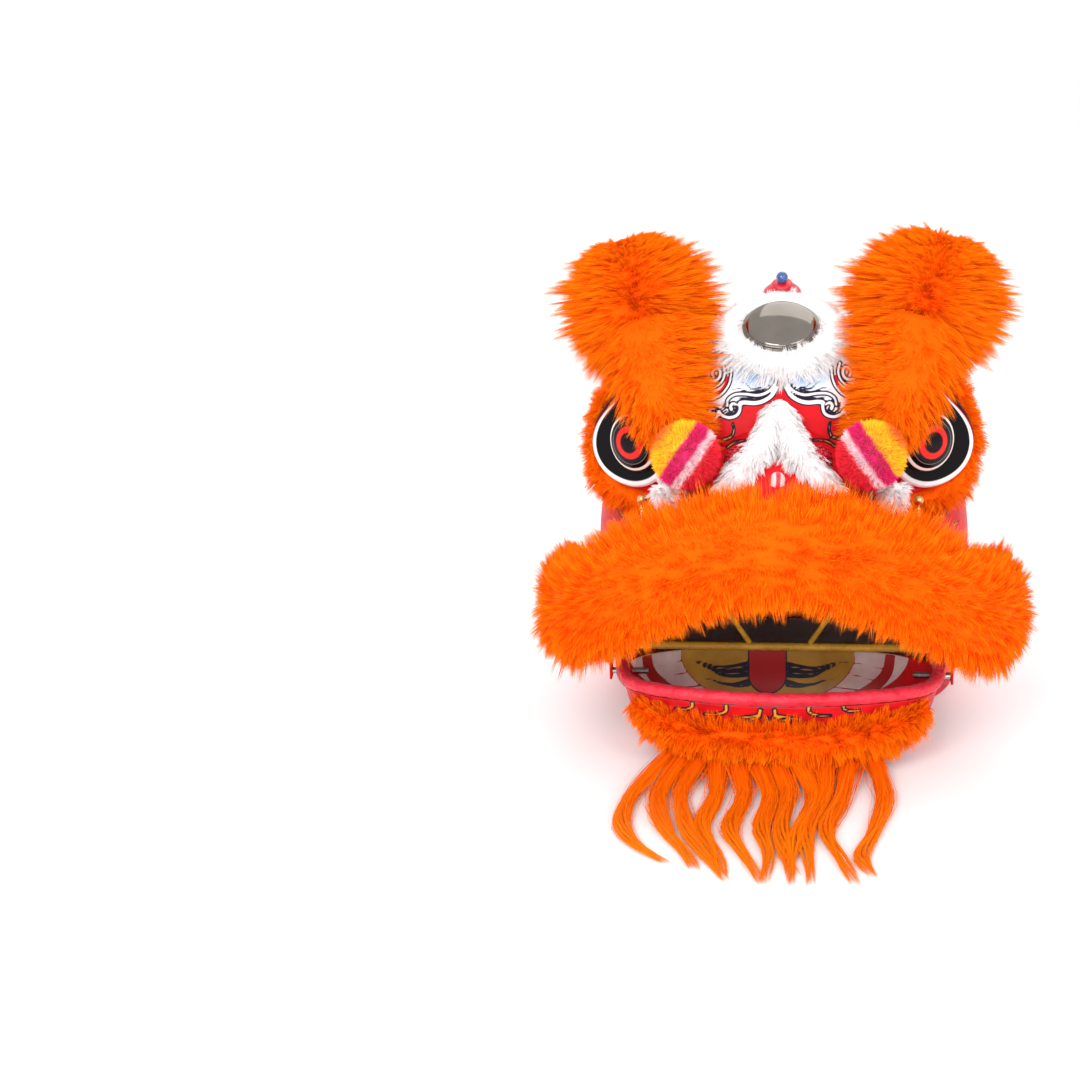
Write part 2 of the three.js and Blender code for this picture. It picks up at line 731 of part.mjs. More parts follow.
const hornAxis = vec(0, -Math.sin(rad(HORN.lean)), Math.cos(rad(HORN.lean)));
const hornFoot = vec(0, HORN.y, HORN.z).addScaledVector(hornAxis, -14);
const hornPoint = (up) => hornFoot.clone().addScaledVector(hornAxis, up);

function horn() {
  const foot = { radius: HORN_PROFILE[0].radius, up: 0 };
  const rows = [foot, ...HORN_PROFILE.map((row) => ({ radius: row.radius, up: row.up + 14 }))];
  return cut(turned(rows, hornFoot, hornAxis, 10), domeBlock);
}

function hornBall() {
  const top = HORN_PROFILE[HORN_PROFILE.length - 1].up + 14;
  const place = hornPoint(top + GAP + HORN.ballRadius * 0.8);
  const ball = new THREE.SphereGeometry(HORN.ballRadius, 8, 5).translate(place.x, place.y, place.z);
  const seat = rod(hornFoot, hornPoint(top + GAP), HORN_PROFILE[0].radius, 6);
  return cut(ball, seat);
}

function hornFur() {
  const collar = fur({
    path: new FormulaCurve((t) => {
      const angle = 2 * Math.PI * t;
      return vec(33 * Math.sin(angle), HORN.y + 33 * Math.cos(angle), HORN.z + 6 - 9 * Math.cos(angle));
    }),
    closed: true,
    stations: 14,
    sides: 4,
    facing: () => vec(0, 0, 1),
    size: () => ({ wide: 10, deep: 13 }),
    parting: 0.25,
  });
  const widest = 24;
  const clear = rod(hornPoint(-20), hornPoint(70), widest + 3, 10);
  return cut(collar, domeBlock, clear, mirrorFurClear());
}

// The space of the mirror's collar, which the horn's fur stays out of.
function mirrorFurClear() {
  return rod(mirrorPoint(-60), mirrorPoint(60), 84, 12);
}

// Lower jaw

// The rim's height: raised at the front middle, low at the sides, up again at the corners and the back.
function jawRimZ(y) {
  const { front, back } = JAW_LEVELS[2];
  const side = -58;
  const corner = LIP_END;
  if (y < side) return mix(JAW_RIM.frontZ, JAW_RIM.sideZ, THREE.MathUtils.smoothstep(y, front, side));
  if (y < corner) return mix(JAW_RIM.sideZ, JAW_RIM.cornerZ, THREE.MathUtils.smoothstep(y, side, corner));
  return mix(JAW_RIM.cornerZ, JAW_RIM.backZ, THREE.MathUtils.smoothstep(y, corner, back));
}

const jawRing = (level, grow, lift = 0) =>
  outline(level, (y) => level.rise * jawRimZ(y) + lift, JAW_SQUARENESS, grow);
const jawBowl = (grow) => loft(JAW_LEVELS.map((level) => jawRing(level, grow)));

const hingePoint = (x) => vec(x, HINGE.y, HINGE.z);

function jawShell() {
  const hollow = loft([
    ...JAW_LEVELS.map((level) => jawRing(level, -WALL, WALL)),
    jawRing(JAW_LEVELS[2], -WALL, WALL + 40),
  ]);
  const pinHole = rod(hingePoint(-230), hingePoint(230), HINGE.radius + HINGE.clearance, 16);
  return cut(jawBowl(0), hollow, pinHole);
}

const jawPin = () =>
  rod(hingePoint(HINGE.inner), hingePoint(HINGE_TAB_ROWS[0].inner - GAP), HINGE.radius, 16);

// The lip: a cloth-wrapped cane along the bowl's rim from corner to corner.
function lipRim() {
  const { halfWidth, front, back } = JAW_LEVELS[2];
  const middle = (front + back) / 2;
  const halfDepth = (back - front) / 2;
  const round = (value) => Math.sign(value) * Math.abs(value) ** (2 / JAW_SQUARENESS);
  const end = (LIP_END - middle) / halfDepth;
  const endAngle = Math.asin(Math.sign(end) * Math.abs(end) ** (JAW_SQUARENESS / 2));
  const path = new FormulaCurve((t) => {
    const angle = mix(-Math.PI - endAngle, endAngle, t);
    const y = middle + halfDepth * round(Math.sin(angle));
    return vec((halfWidth - WALL / 2) * round(Math.cos(angle)), y, jawRimZ(y) + LIP_RADIUS + 1.5);
  });
  const circle = new THREE.Shape().absarc(0, 0, LIP_RADIUS, 0, 2 * Math.PI);
  const sweep = { steps: 24, curveSegments: 4, bevelEnabled: false, extrudePath: path };
  const tube = new THREE.ExtrudeGeometry(circle, sweep);
  return cut(tube, loft([jawRing(JAW_LEVELS[1], 2), jawRing(JAW_LEVELS[2], 2, GAP)]));
}

// Chin fur and beard

const floorBlock = box(vec(-600, -600, -200), vec(600, 600, 0));

function chinPath(out, z, turn) {
  const { halfWidth, front } = JAW_LEVELS[1];
  const middle = -20;
  return new FormulaCurve((t) => {
    const angle = mix(-rad(turn), rad(turn), t);
    const rise = CHIN.sideRise * Math.sin(angle) ** 4;
    const y = middle + (front - out - middle) * Math.cos(angle);
    return vec((halfWidth + out) * Math.sin(angle), y, z + rise);
  });
}

const chinStrip = (options) =>
  fur({
    path: chinPath(CHIN.out, CHIN.z, CHIN.turn),
    stations: 17,
    sides: 8,
    facing: (t) => {
      const angle = rad(mix(-CHIN.turn, CHIN.turn, t));
      return vec(Math.sin(angle), -Math.cos(angle), 0);
    },
    size: roundedEnds(CHIN.wide, CHIN.deep),
    comb: vec(0, 0, -3),
    ...options,
  });

const lipClear = box(vec(-260, -200, 81), vec(260, 100, 140));
const chinFur = () => cut(chinStrip({}), jawBowl(GAP), floorBlock, lipClear);

// Long locks that fall from a strip under the chin and lie on the floor.
function beard() {
  const { rootWide, rootDeep, tipWide, tipDeep } = BEARD_LOCK;
  const lock = (row) => {
    const rootY = chinPath(34, 0, 74).getPoint(0.5 + row.root / 420).y;
    const path = line([
      vec(row.root, rootY, BEARD.rootZ),
      vec(row.bow, BEARD.bowY, rootDeep),
      vec(row.waist, BEARD.waistY, rootDeep - 1),
      vec(row.turn, BEARD.turnY, rootDeep - 2),
      vec(row.tip, row.reach, tipDeep + 0.2),
    ]);
    return fur({
      path,
      stations: 6,
      sides: 4,
      facing: () => vec(0, 0, 1),
      size: (t) => ({ wide: mix(rootWide, tipWide, t * t), deep: mix(rootDeep, tipDeep, t) }),
      smooth: true,
    });
  };
  const strip = fur({
    path: chinPath(33, BEARD.rootZ - 3, 44),
    stations: 7,
    sides: 4,
    facing: () => vec(0, 0, 1),
    size: () => ({ wide: 11, deep: 9 }),
    smooth: true,
  });
  return cut(joined(strip, ...BEARD_LOCKS.map(lock)), chinStrip({ grow: GAP }));
}

// Frame sticks in the mouth

const barPoint = (x) => vec(x, MOUTH_BAR.y, MOUTH_BAR.z);

function mouthBar() {
  const end = HINGE_TAB_ROWS[0].inner - GAP;
  return rod(barPoint(-end), barPoint(end), STICK_RADIUS, 12);
}

function strut() {
  const foot = barPoint(STRUT.footX);
  const head = vec(STRUT.headX, STRUT.headY, STRUT.headZ);
  const barClear = rod(barPoint(0), barPoint(80), STICK_RADIUS + GAP, 12);
  return cut(rod(foot, head, STRUT_RADIUS, 8), muzzleSkin, barClear);
}

// Assembly

const head = new THREE.Group();

function add(name, geometry, material) {
  const mesh = new THREE.Mesh(geometry, material.clone());
  mesh.name = name;
  head.add(mesh);
}

function addPair(name, geometry, material) {
  add(`${name}_right`, geometry, material);
  add(`${name}_left`, mirrored(geometry), material);
}

add("head_shell", headShell(), RED_PAINT);
add("neck_rim", neckRim(), RED_CLOTH);
add("upper_jaw", upperJaw(), RED_PAINT);
add("mouth_fur", mouthFur(), ORANGE_FUR);
add("nose_fur", noseFur(), WHITE_FUR);
add("nose_tip", noseTip(), RED_CLOTH);
addPair("nostril", nostril(), RED_SEQUIN);
addPair("pompom", pompom(), STRIPED_WOOL);
addPair("pompom_stem", pompomStem(), WIRE);
addPair("white_tuft", tuft(), WHITE_FUR);
addPair("cheek_bead", cheekBead(), GOLD_BEAD);
addPair("eye_socket", eyeSocket(), BLACK_LACQUER);
addPair("eye_ball", eyeBall(), EYE_GLOSS);
addPair("eye_fur", eyeFur(), ORANGE_FUR);
addPair("brow_fur", browFur(), ORANGE_FUR);
addPair("ear", ear(), ORANGE_FUR);
addPair("ear_staple", earStaple(), WIRE);
add("mirror", mirror(), MIRROR_GLASS);
add("mirror_fur", mirrorFur(), WHITE_FUR);
add("horn", horn(), RED_CLOTH);
add("horn_ball", hornBall(), BLUE_GLASS);
add("horn_fur", hornFur(), WHITE_FUR);
add("mouth_bar", mouthBar(), YELLOW_TAPE);
addPair("mouth_strut", strut(), YELLOW_TAPE);
add("jaw_shell", jawShell(), JAW_PAINT);
addPair("jaw_pin", jawPin(), WIRE);
add("lip_rim", lipRim(), RED_CLOTH);
add("chin_fur", chinFur(), ORANGE_FUR);
add("beard", beard(), ORANGE_HAIR);

export default head;
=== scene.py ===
"""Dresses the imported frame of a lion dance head: fur, painted shells, eyes, mirror, pompoms and beard.

Every form is drawn in millimetres, in the frame's own axes: the face looks along -Y and +Z is up.
"""

import math

import bpy
import numpy as np
from bpy.props import FloatProperty, FloatVectorProperty, PointerProperty
from mathutils import Euler, Matrix


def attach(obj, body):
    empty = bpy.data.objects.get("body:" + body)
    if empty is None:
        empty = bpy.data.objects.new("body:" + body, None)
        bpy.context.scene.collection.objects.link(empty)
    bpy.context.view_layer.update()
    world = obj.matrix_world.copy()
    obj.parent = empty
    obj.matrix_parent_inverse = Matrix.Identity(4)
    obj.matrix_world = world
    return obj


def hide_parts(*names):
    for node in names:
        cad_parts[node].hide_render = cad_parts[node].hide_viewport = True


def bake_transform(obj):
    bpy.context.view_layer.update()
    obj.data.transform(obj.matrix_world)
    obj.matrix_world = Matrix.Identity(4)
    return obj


bl_info = {
    "name": "Lion dance head",
    "version": (1, 0, 0),
    "blender": (4, 5, 0),
    "location": "View3D > Sidebar > Lion head",
    "description": "Fur, paint and trimmings of a lion dance head",
    "category": "Object",
}

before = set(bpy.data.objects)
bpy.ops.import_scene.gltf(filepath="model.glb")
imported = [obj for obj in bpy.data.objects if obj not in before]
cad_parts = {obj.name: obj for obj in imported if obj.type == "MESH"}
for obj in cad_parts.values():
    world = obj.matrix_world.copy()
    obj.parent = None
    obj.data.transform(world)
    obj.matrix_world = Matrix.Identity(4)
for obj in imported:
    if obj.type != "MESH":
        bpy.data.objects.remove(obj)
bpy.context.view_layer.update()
MM = 0.001
SIDES = (("right", 1), ("left", -1))

# Head dome: height, half width, front and back of each level from the neck to the crown.
DOME_LEVELS = np.array([
    (10.4, 224.7, 37.7, 378.4),
    (180, 236, 0, 368),
    (270, 228, -12, 345),
    (340, 212, -14, 318),
    (400, 180, -2, 285),
    (445, 140, 28, 252),
    (478, 95, 66, 217),
    (497, 50, 104, 182),
    (503, 14, 131, 155),
    (503.6, 0.02, 142.98, 143.02),
])
DOME_SQUARENESS = 2.4
WALL = 3.0
PASSAGE = {"half_width": 190, "back": 85, "top": 250}

# Muzzle: half width, Y of its middle, reach to the front, height of its lower edge at the front, and how far
# that falls at the sides. Its face: how far out and up from that edge each of its rows lies.
MUZZLE = {"half_width": 215, "middle": -20, "reach": 135, "front_z": 240, "side_fall": 120}
MUZZLE_FACE = [(3, 0), (27, 42), (24, 84), (-14, 120)]
MUZZLE_TURN = math.radians(105)
HINGE_TABS = [((207, -15, 97), (215, 38, 158)), ((207, -9, 71), (210, 9, 120))]

# Jaw bowl: share of the rim's height, half width, front and back.
JAW_LEVELS = np.array([(0, 118, -72, 32), (0.42, 174, -105, 58), (1, 193, -117, 70)])
JAW_SQUARENESS = 2.05
JAW_MIDDLE = -20
# Jaw rim: the Y of its front, sides, mouth corners and back, and its height at each.
JAW_RIM_Y = (-117, -58, -4, 70)
JAW_RIM_Z = (88, 82, 94, 88)
# Lip: half width and half depth of its loop, the Y of its middle, and the Y where its ends stop.
LIP = {"half_width": 191.5, "half_depth": 93.5, "middle": -23.5, "ends": -4}
# Chin: half width and reach of the jaw behind its fur and how far the fur's ends rise, then how far out, at
# what height and how far round the strip of fur runs.
CHIN = {"half_width": 174, "reach": 85, "side_rise": 32, "out": 9, "z": 40, "turn": 70}

# Eye, measured in its own plane.
EYE_PLACE = np.array([176, 24, 372.0])
EYE_TURN = math.radians(32)
EYE_DROP = [
    [(20, 68), (40, 44), (68, 22), (66, -12)],
    [(66, -12), (62, -48), (26, -60), (0, -59)],
    [(0, -59), (-34, -57), (-60, -30), (-58, 0)],
    [(-58, 0), (-56, 30), (-20, 56), (20, 68)],
]

EYE_CAP = {"across": -6, "up": 1, "radius": 38}
# Fur of the eye: its brow from the ear down to the nose, and its rim as across, up and out of the eye.
BROW_PATH = [(160, 108, 498), (156, 54, 460), (141, 12, 430), (128, -8, 398), (121, -10, 362)]
EYE_RIM_PATH = [
    (8, 88, -34), (44, 66, -38), (66, 30, -40), (72, -8, -36), (56, -52, -26), (4, -74, -20), (-46, -70, -20),
]
NOSE_PATH = [(0, 4, 418), (6, -36, 404), (27, -82, 378), (58, -114, 350)]

EAR_FOOT = np.array([160, 132, 452.0])
EAR_ALONG = np.array([0.24, 0.08, 0.97])
# Ear leaf: distance along its axis, half width and half depth.
EAR_LEAF = [
    (-8, 12, 9),
    (6, 46, 16),
    (24, 86, 24),
    (50, 102, 31),
    (80, 103, 33),
    (108, 90, 30),
    (132, 61, 21),
    (147, 24, 9),
]

MIRROR_FOOT = np.array([0, 98, 493.6])
MIRROR_TILT = math.radians(26)
MIRROR_FACE = np.array([0, -math.sin(MIRROR_TILT), math.cos(MIRROR_TILT)])
# White paint under the mirror's collar: its radius, and how far behind the mirror it reaches.
COLLAR_PAINT = {"radius": 74, "depth": 90}
HORN_FOOT = np.array([0, 206, 487.0])
HORN_LEAN = math.radians(20)
HORN_PROFILE = [
    (20, -14), (20, 0), (24, 10), (22, 23), (24.5, 27), (22, 31), (15, 38), (11, 43.5), (0.02, 44),
]
KNOB_PROFILE = [(0.02, 0), (5, 0.6), (9.5, 6), (11, 13), (9.5, 21), (6, 27.5), (2.5, 29.8), (0.02, 30)]

# Beard locks: X at the root, bow, waist, turn and tip, and the Y of the tip.
BEARD_LOCKS = [
    (-128, -166, -174, -146, -117, -338),
    (-112, -138, -126, -101, -85, -351),
    (-92, -111, -102, -80, -50, -374),
    (-72, -70, -82, -65, -54, -368),
    (-46, -37, -51, -35, -12, -378),
    (-22, -8, -16, -6, -12, -378),
    (2, 14, 4, 13, 24, -356),
    (28, 44, 26, 18, 18, -378),
    (56, 54, 34, 37, 38, -378),
    (84, 74, 58, 68, 88, -374),
    (114, 124, 112, 92, 108, -356),
]

# Drawings on the shells, in the plane of the face as seen from the front: each line has its layer, its half
# width at the start and the end, and its points. A folded drawing is the same on both sides of its middle.
FACE_DRAWING = {"origin": (690, 360), "scale": 8, "middle": 730}
CLOUD_EDGE = [
    (716, 170), (700, 225), (668, 290), (610, 345), (540, 375), (470, 375), (425, 372), (415, 420),
    (385, 468), (320, 486), (262, 465), (236, 440), (222, 480), (185, 512), (140, 495), (105, 455), (40, 430),
]
FACE_LINES = [
    ("white", 9, 10, [
        (196, 140), (184, 112), (200, 82), (232, 74), (248, 104), (240, 146), (206, 172), (160, 168),
    ]),
    ("white", 8, 6, [(270, 40), (284, 110), (262, 176), (214, 218), (140, 236)]),
    ("crescent", 17, 8, [(306, 150), (290, 205), (245, 256), (170, 286), (130, 290)]),
    ("white", 7, 8, [(338, 70), (330, 150), (306, 220), (252, 284), (180, 318), (110, 330)]),
    ("white", 11, 8, [
        (700, 130), (676, 210), (628, 262), (548, 290), (450, 280), (366, 282), (312, 318), (298, 372),
    ]),
    ("white", 14, 16, [(690, 230), (655, 292), (590, 336), (520, 352), (440, 346), (404, 352)]),
    ("white", 11, 11, [(404, 352), (402, 410), (376, 450), (318, 466), (262, 446), (238, 412)]),
    ("white", 10, 9, [(232, 424), (214, 470), (178, 494), (140, 478), (118, 440)]),
    ("white", 13, 8, [(336, 400), (330, 374), (350, 352), (376, 364)]),
    ("white", 12, 7, [(168, 440), (160, 412), (182, 390), (208, 404)]),
    ("ink", 7, 11, [(268, 352), (280, 404), (320, 436), (364, 424), (386, 386), (386, 344)]),
    ("ink", 6, 9, [(236, 392), (214, 372), (176, 366), (142, 392)]),
    ("ink", 9, 4, [(660, 236), (610, 300), (530, 322), (450, 312), (392, 318)]),
    ("ink", 3, 10, [(340, 246), (400, 236), (452, 256), (520, 268), (590, 246)]),
    ("ink", 2, 9, [(392, 176), (450, 196), (490, 236), (560, 250)]),
    ("ink", 1, 6, [(440, 150), (490, 190), (540, 226), (580, 226)]),
    ("ink", 2, 5, [(640, 150), (636, 200), (606, 240)]),
    ("gold", 2, 7, [(347, 512), (356, 566), (334, 618), (272, 642)]),
    ("ink", 3, 6, [(372, 618), (338, 668), (288, 698)]),
    ("gold", 2, 5, [(512, 652), (440, 648), (366, 662), (306, 702)]),
    ("ink", 3, 3, [(520, 690), (440, 690), (372, 720), (330, 760)]),
]
CHEEK_DRAWING = {"origin": (578, 385), "scale": 5.5, "middle": 1117}
CHEEK_LINES = [
    ("gold", 2, 4, [(62, 660), (76, 730), (120, 762), (176, 760), (200, 782)]),
    ("gold", 2, 5, [(76, 776), (96, 820), (140, 822), (196, 800)]),
    ("gold", 3, 6, [(232, 676), (250, 720), (300, 736), (360, 716)]),
]
MOUTH_DRAWING = {"origin": (640, 625), "scale": 5.5, "middle": 702}
MOUTH_PANEL = [(236, 150), (240, 205), (300, 292), (400, 362), (560, 420), (702, 440)]
MOUTH_LINES = [
    ("ink", 10, 2, [(590, 206), (500, 224), (420, 224), (340, 200), (262, 196)]),
    ("ink", 13, 2, [(590, 236), (500, 252), (430, 244), (370, 222), (310, 206)]),
    ("ink", 13, 3, [(592, 268), (520, 276), (450, 270), (400, 244), (350, 226)]),
    ("ink", 12, 2, [(594, 304), (520, 322), (450, 316), (400, 298), (342, 292)]),
    ("ink", 8, 2, [(600, 326), (540, 334), (480, 330)]),
    ("band", 6, 6, [(238, 140), (242, 205), (300, 292), (400, 362), (560, 420)]),
    ("band", 4, 4, [(110, 292), (180, 280), (262, 258)]),
    ("band", 4, 4, [(160, 352), (240, 344), (352, 330)]),
    ("band", 3, 3, [(60, 232), (150, 216), (240, 196)]),
    ("band", 26, 34, [(40, 150), (60, 250), (130, 330), (240, 400)]),
    ("tongue", 98, 98, [(702, 120), (702, 268)]),
]
CHIN_DRAWING = {"origin": (640, 625), "scale": 5.5, "middle": 702}
CHIN_LINES = [
    ("gold", 2, 8, [(520, 510), (590, 500), (650, 492), (664, 462)]),
    ("gold", 2, 4, [(560, 524), (620, 514), (668, 494)]),
    ("gold", 2, 8, [(360, 486), (420, 488), (474, 472), (478, 440)]),
    ("gold", 2, 7, [(200, 456), (250, 462), (290, 450), (292, 428)]),
    ("gold", 3, 6, [(702, 500), (692, 524), (676, 548)]),
]

# The stage camera: where it stands round its target, and how it is aimed, left of the head.
VIEW = {"turn": 1, "lift": 20, "distance": 2300, "target": (0, 40, 240), "lens": 62, "aside": 7.352}
SENSOR = 36
# The picture that the drawings are placed on, in pixels: its width, where the target falls in it, the middle
# and the top of the painted forehead, and the millimetres in a pixel. Then the ink round a drawn line and the
# longest distance that is kept, in millimetres.
PICTURE = {"width": 1080, "target": (780, 540), "forehead": (781, 360), "pixel": 1.25}
INK_EDGE = 1.9
FAR = 30.0


class LionHeadSizes(bpy.types.PropertyGroup):
    """Sizes that change the look of the dressed head"""

    strand_width: FloatProperty(
        name="Fur strand", description="Width of a strand of fur at its root", default=0.9 * MM, unit="LENGTH"
    )
    fur_density: FloatProperty(
        name="Fur density", description="Share of the full number of strands", default=1.0, min=0.05, max=1.0
    )
    eye_radius: FloatProperty(
        name="Eyeball radius",
        description="Radius of the glossy eye cap",
        default=EYE_CAP["radius"] * MM,
        unit="LENGTH",
    )
    mirror_radius: FloatProperty(
        name="Mirror radius", description="Radius of the forehead mirror", default=44 * MM, unit="LENGTH"
    )
    pompom_radius: FloatProperty(
        name="Pompom radius", description="Radius of a striped pompom", default=41 * MM, unit="LENGTH"
    )
    lip_radius: FloatProperty(
        name="Lip radius", description="Radius of the cloth-wrapped lip", default=8 * MM, unit="LENGTH"
    )


def colour(name, description, value):
    return FloatVectorProperty(
        name=name, description=description, default=value, subtype="COLOR", size=3, min=0, max=1
    )


class LionHeadColours(bpy.types.PropertyGroup):
    """Colours of the fur, paint and cloth"""

    # The root colours are darker than the tips, and for white fur greyer and pinker: painted shade down among
    # the strands.
    orange_root: colour("Orange root", "Fur near its backing", (0.92, 0.105, 0.0))
    orange_middle: colour("Orange", "Fur along its length", (0.97, 0.15, 0.0))
    orange_tip: colour("Orange tip", "Fur at its tips", (1.0, 0.24, 0.002))
    white_root: colour("White root", "White fur near its backing", (0.93, 0.88, 0.885))
    white_tip: colour("White tip", "White fur at its tips", (0.95, 0.935, 0.935))
    red_paint: colour("Red paint", "Lacquer on the shells", (0.72, 0.006, 0.012))
    lip_cloth: colour("Lip cloth", "Crepe on the lip", (0.66, 0.006, 0.03))
    gold_paint: colour("Gold paint", "Gold in the painted flames", (0.72, 0.33, 0.02))
    ink: colour("Ink", "Dark outlines of the painting", (0.012, 0.008, 0.025))
    wool_yellow: colour("Yellow wool", "Yellow stripe of the pompoms", (1.0, 0.6, 0.005))
    wool_magenta: colour("Magenta wool", "Magenta stripe of the pompoms", (0.78, 0.004, 0.17))


# Numbers and curves


def unit(v):
    return v / np.maximum(np.linalg.norm(v, axis=-1, keepdims=True), 1e-9)


def mix(a, b, share):
    return a + (b - a) * share


def smoothstep(x, low, high):
    t = np.clip((x - low) / (high - low), 0, 1)
    return t * t * (3 - 2 * t)


def spline(rows, t):
    """Points of a smooth curve through rows, for t from 0 to 1. Rows may hold a point for each t."""
    rows = np.asarray(rows, float)
    padded = np.concatenate([2 * rows[:1] - rows[1:2], rows, 2 * rows[-1:] - rows[-2:-1]])
    place = np.clip(t, 0, 1) * (len(rows) - 1)
    i = np.minimum(place.astype(int), len(rows) - 2)
    f = (place - i)[:, None]
    column = np.arange(len(i))
    p = [padded[i + k, column] if rows.ndim == 3 else padded[i + k] for k in range(4)]
    return 0.5 * (
        2 * p[1]
        + (p[2] - p[0]) * f
        + (2 * p[0] - 5 * p[1] + 4 * p[2] - p[3]) * f**2
        + (3 * p[1] - p[0] - 3 * p[2] + p[3]) * f**3
    )


def rounded(value, squareness):
    return np.sign(value) * np.abs(value) ** (2 / squareness)


def oval(half_width, front, back, angle, squareness, grow=0.0):
    """Plan outline of a level, with angle 0 on +X and a quarter turn at the back."""
    x = (half_width + grow) * rounded(np.cos(angle), squareness)
    y = (front + back) / 2 + ((back - front) / 2 + grow) * rounded(np.sin(angle), squareness)
    return x, y


def dome_point(angle, level, grow=0.0):
    rows = spline(DOME_LEVELS, level / (len(DOME_LEVELS) - 1))
    x, y = oval(rows[:, 1], rows[:, 2], rows[:, 3], angle, DOME_SQUARENESS, grow)
    return np.stack([x, y, rows[:, 0]], axis=1)


def muzzle_edge(angle):
    side = np.sin(angle)
    y = MUZZLE["middle"] - MUZZLE["reach"] * np.cos(angle)
    z = MUZZLE["front_z"] - MUZZLE["side_fall"] * side**2
    return np.stack([MUZZLE["half_width"] * side, y, z], axis=1)


def muzzle_outward(angle):
    across, forward = MUZZLE["reach"] * np.sin(angle), -MUZZLE["half_width"] * np.cos(angle)
    return unit(np.stack([across, forward, 0 * angle], axis=1))


def jaw_rim(y):
    height = JAW_RIM_Z[0]
    for k in range(len(JAW_RIM_Y) - 1):
        height = height + (JAW_RIM_Z[k + 1] - JAW_RIM_Z[k]) * smoothstep(y, JAW_RIM_Y[k], JAW_RIM_Y[k + 1])
    return height


def eye_axes():
    face = unit(np.array([math.sin(EYE_TURN), -math.cos(EYE_TURN), 0.1]))
    across = np.array([math.cos(EYE_TURN), math.sin(EYE_TURN), 0])
    return across, unit(np.cross(face, across)), face


def eye_point(across, up, out):
    a, u, f = eye_axes()
    return EYE_PLACE + np.multiply.outer(across, a) + np.multiply.outer(up, u) + np.multiply.outer(out, f)


def drop_outline(steps=24):
    t = np.linspace(0, 1, steps, endpoint=False)[:, None]
    curves = []
    for a, b, c, d in np.array(EYE_DROP, float):
        curves.append((1 - t) ** 3 * a + 3 * (1 - t) ** 2 * t * b + 3 * (1 - t) * t**2 * c + t**3 * d)
    return np.concatenate(curves)


def chin_path(t, out, z, turn):
    angle = mix(-1, 1, t) * math.radians(turn)
    x = (CHIN["half_width"] + out) * np.sin(angle)
    y = JAW_MIDDLE + (-CHIN["reach"] - out) * np.cos(angle)
    return np.stack([x, y, z + CHIN["side_rise"] * np.sin(angle) ** 4], axis=1)


def line_distance(points, line, half_width):
    """Signed distance of 2D points from a drawn line, less its half width at each place."""
    a, b = line[:-1], line[1:]
    along = b - a
    length = np.maximum((along**2).sum(1), 1e-9)
    nearest = np.full(len(points), 1e9)
    widths = np.broadcast_to(half_width, len(line))
    for k in range(len(a)):
        share = np.clip(((points - a[k]) @ along[k]) / length[k], 0, 1)
        gap = np.linalg.norm(points - a[k] - share[:, None] * along[k], axis=1)
        nearest = np.minimum(nearest, gap - mix(widths[k], widths[k + 1], share))
    return nearest


def camera_way():
    """The way from the stage camera's target to the camera."""
    turn, lift = math.radians(VIEW["turn"]), math.radians(VIEW["lift"])
    return np.array([math.sin(turn) * math.cos(lift), -math.cos(turn) * math.cos(lift), math.sin(lift)])


def face_view(points):
    """Where points fall in the picture of the drawings: the stage camera's view, before it is aimed aside."""
    back = camera_way()
    turn = math.radians(VIEW["turn"])
    right = np.array([math.cos(turn), math.sin(turn), 0])
    up = np.cross(back, right)
    off = points - np.array(VIEW["target"])
    depth = VIEW["distance"] - off @ back
    zoom = VIEW["lens"] / SENSOR * PICTURE["width"]
    middle_x, middle_y = PICTURE["target"]
    return np.stack([middle_x + zoom * (off @ right) / depth, middle_y - zoom * (off @ up) / depth], axis=1)


def inside_outline(flat, corners):
    """Whether 2D points lie inside a closed outline."""
    inside = np.zeros(len(flat), bool)
    x, y = flat[:, 0], flat[:, 1]
    for (x0, y0), (x1, y1) in zip(corners, np.roll(corners, -1, axis=0)):
        crosses = (y0 > y) != (y1 > y)
        inside ^= crosses & (x < (x1 - x0) * (y - y0) / (y1 - y0 if y1 != y0 else 1e-9) + x0)
    return inside


def draw_on(mesh, drawing, lines, layers, where, areas=()):
    """Stores how far each point of a mesh is from the drawn lines of every layer, in millimetres."""
    points = get_points(mesh)
    seen = face_view(points)
    flat = (seen - np.array(drawing["origin"])) * drawing["scale"]
    flat[:, 0] = drawing["middle"] - np.abs(flat[:, 0] - drawing["middle"])
    size = PICTURE["pixel"] / drawing["scale"]
    chosen = where(points)
    near = flat[chosen]
    found = {layer: np.full(len(points), FAR) for layer in layers}
    for layer, start, end, places in lines:
        line = spline(np.array(places, float), np.linspace(0, 1, 7 * len(places)))
        gap = line_distance(near, line, np.linspace(start, end, len(line))) * size
        found[layer][chosen] = np.minimum(found[layer][chosen], gap)
        if layer in ("white", "gold", "tongue"):
            found["ink"][chosen] = np.minimum(found["ink"][chosen], gap - INK_EDGE)
    for layer, edge, closing in areas:
        line = spline(np.array(edge, float), np.linspace(0, 1, 7 * len(edge)))
        gap = line_distance(near, line, np.zeros(len(line))) * size
        within = inside_outline(near, np.concatenate([line, np.array(closing, float)]))
        found[layer][chosen] = np.where(within, -gap, gap)
    for layer, values in found.items():
        held = mesh.attributes.get(layer)
        if held:
            before = np.empty(len(points), np.float32)
            held.data.foreach_get("value", before)
            values = np.minimum(values, before)
            held.data.foreach_set("value", values.astype(np.float32))
        else:
            set_attribute(mesh, layer, np.clip(values, -FAR, FAR))


# Meshes


def finish_piece(piece, material, body, nodes):
    """Gives a piece its material and its body, and hides the nodes of the frame that it stands for."""
    if material:
        piece.data.materials.clear()
        piece.data.materials.append(material)
    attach(piece, body)
    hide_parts(*nodes)
    return piece


def set_points(mesh, points):
    mesh.vertices.foreach_set("co", (points * MM).ravel())
    mesh.update()


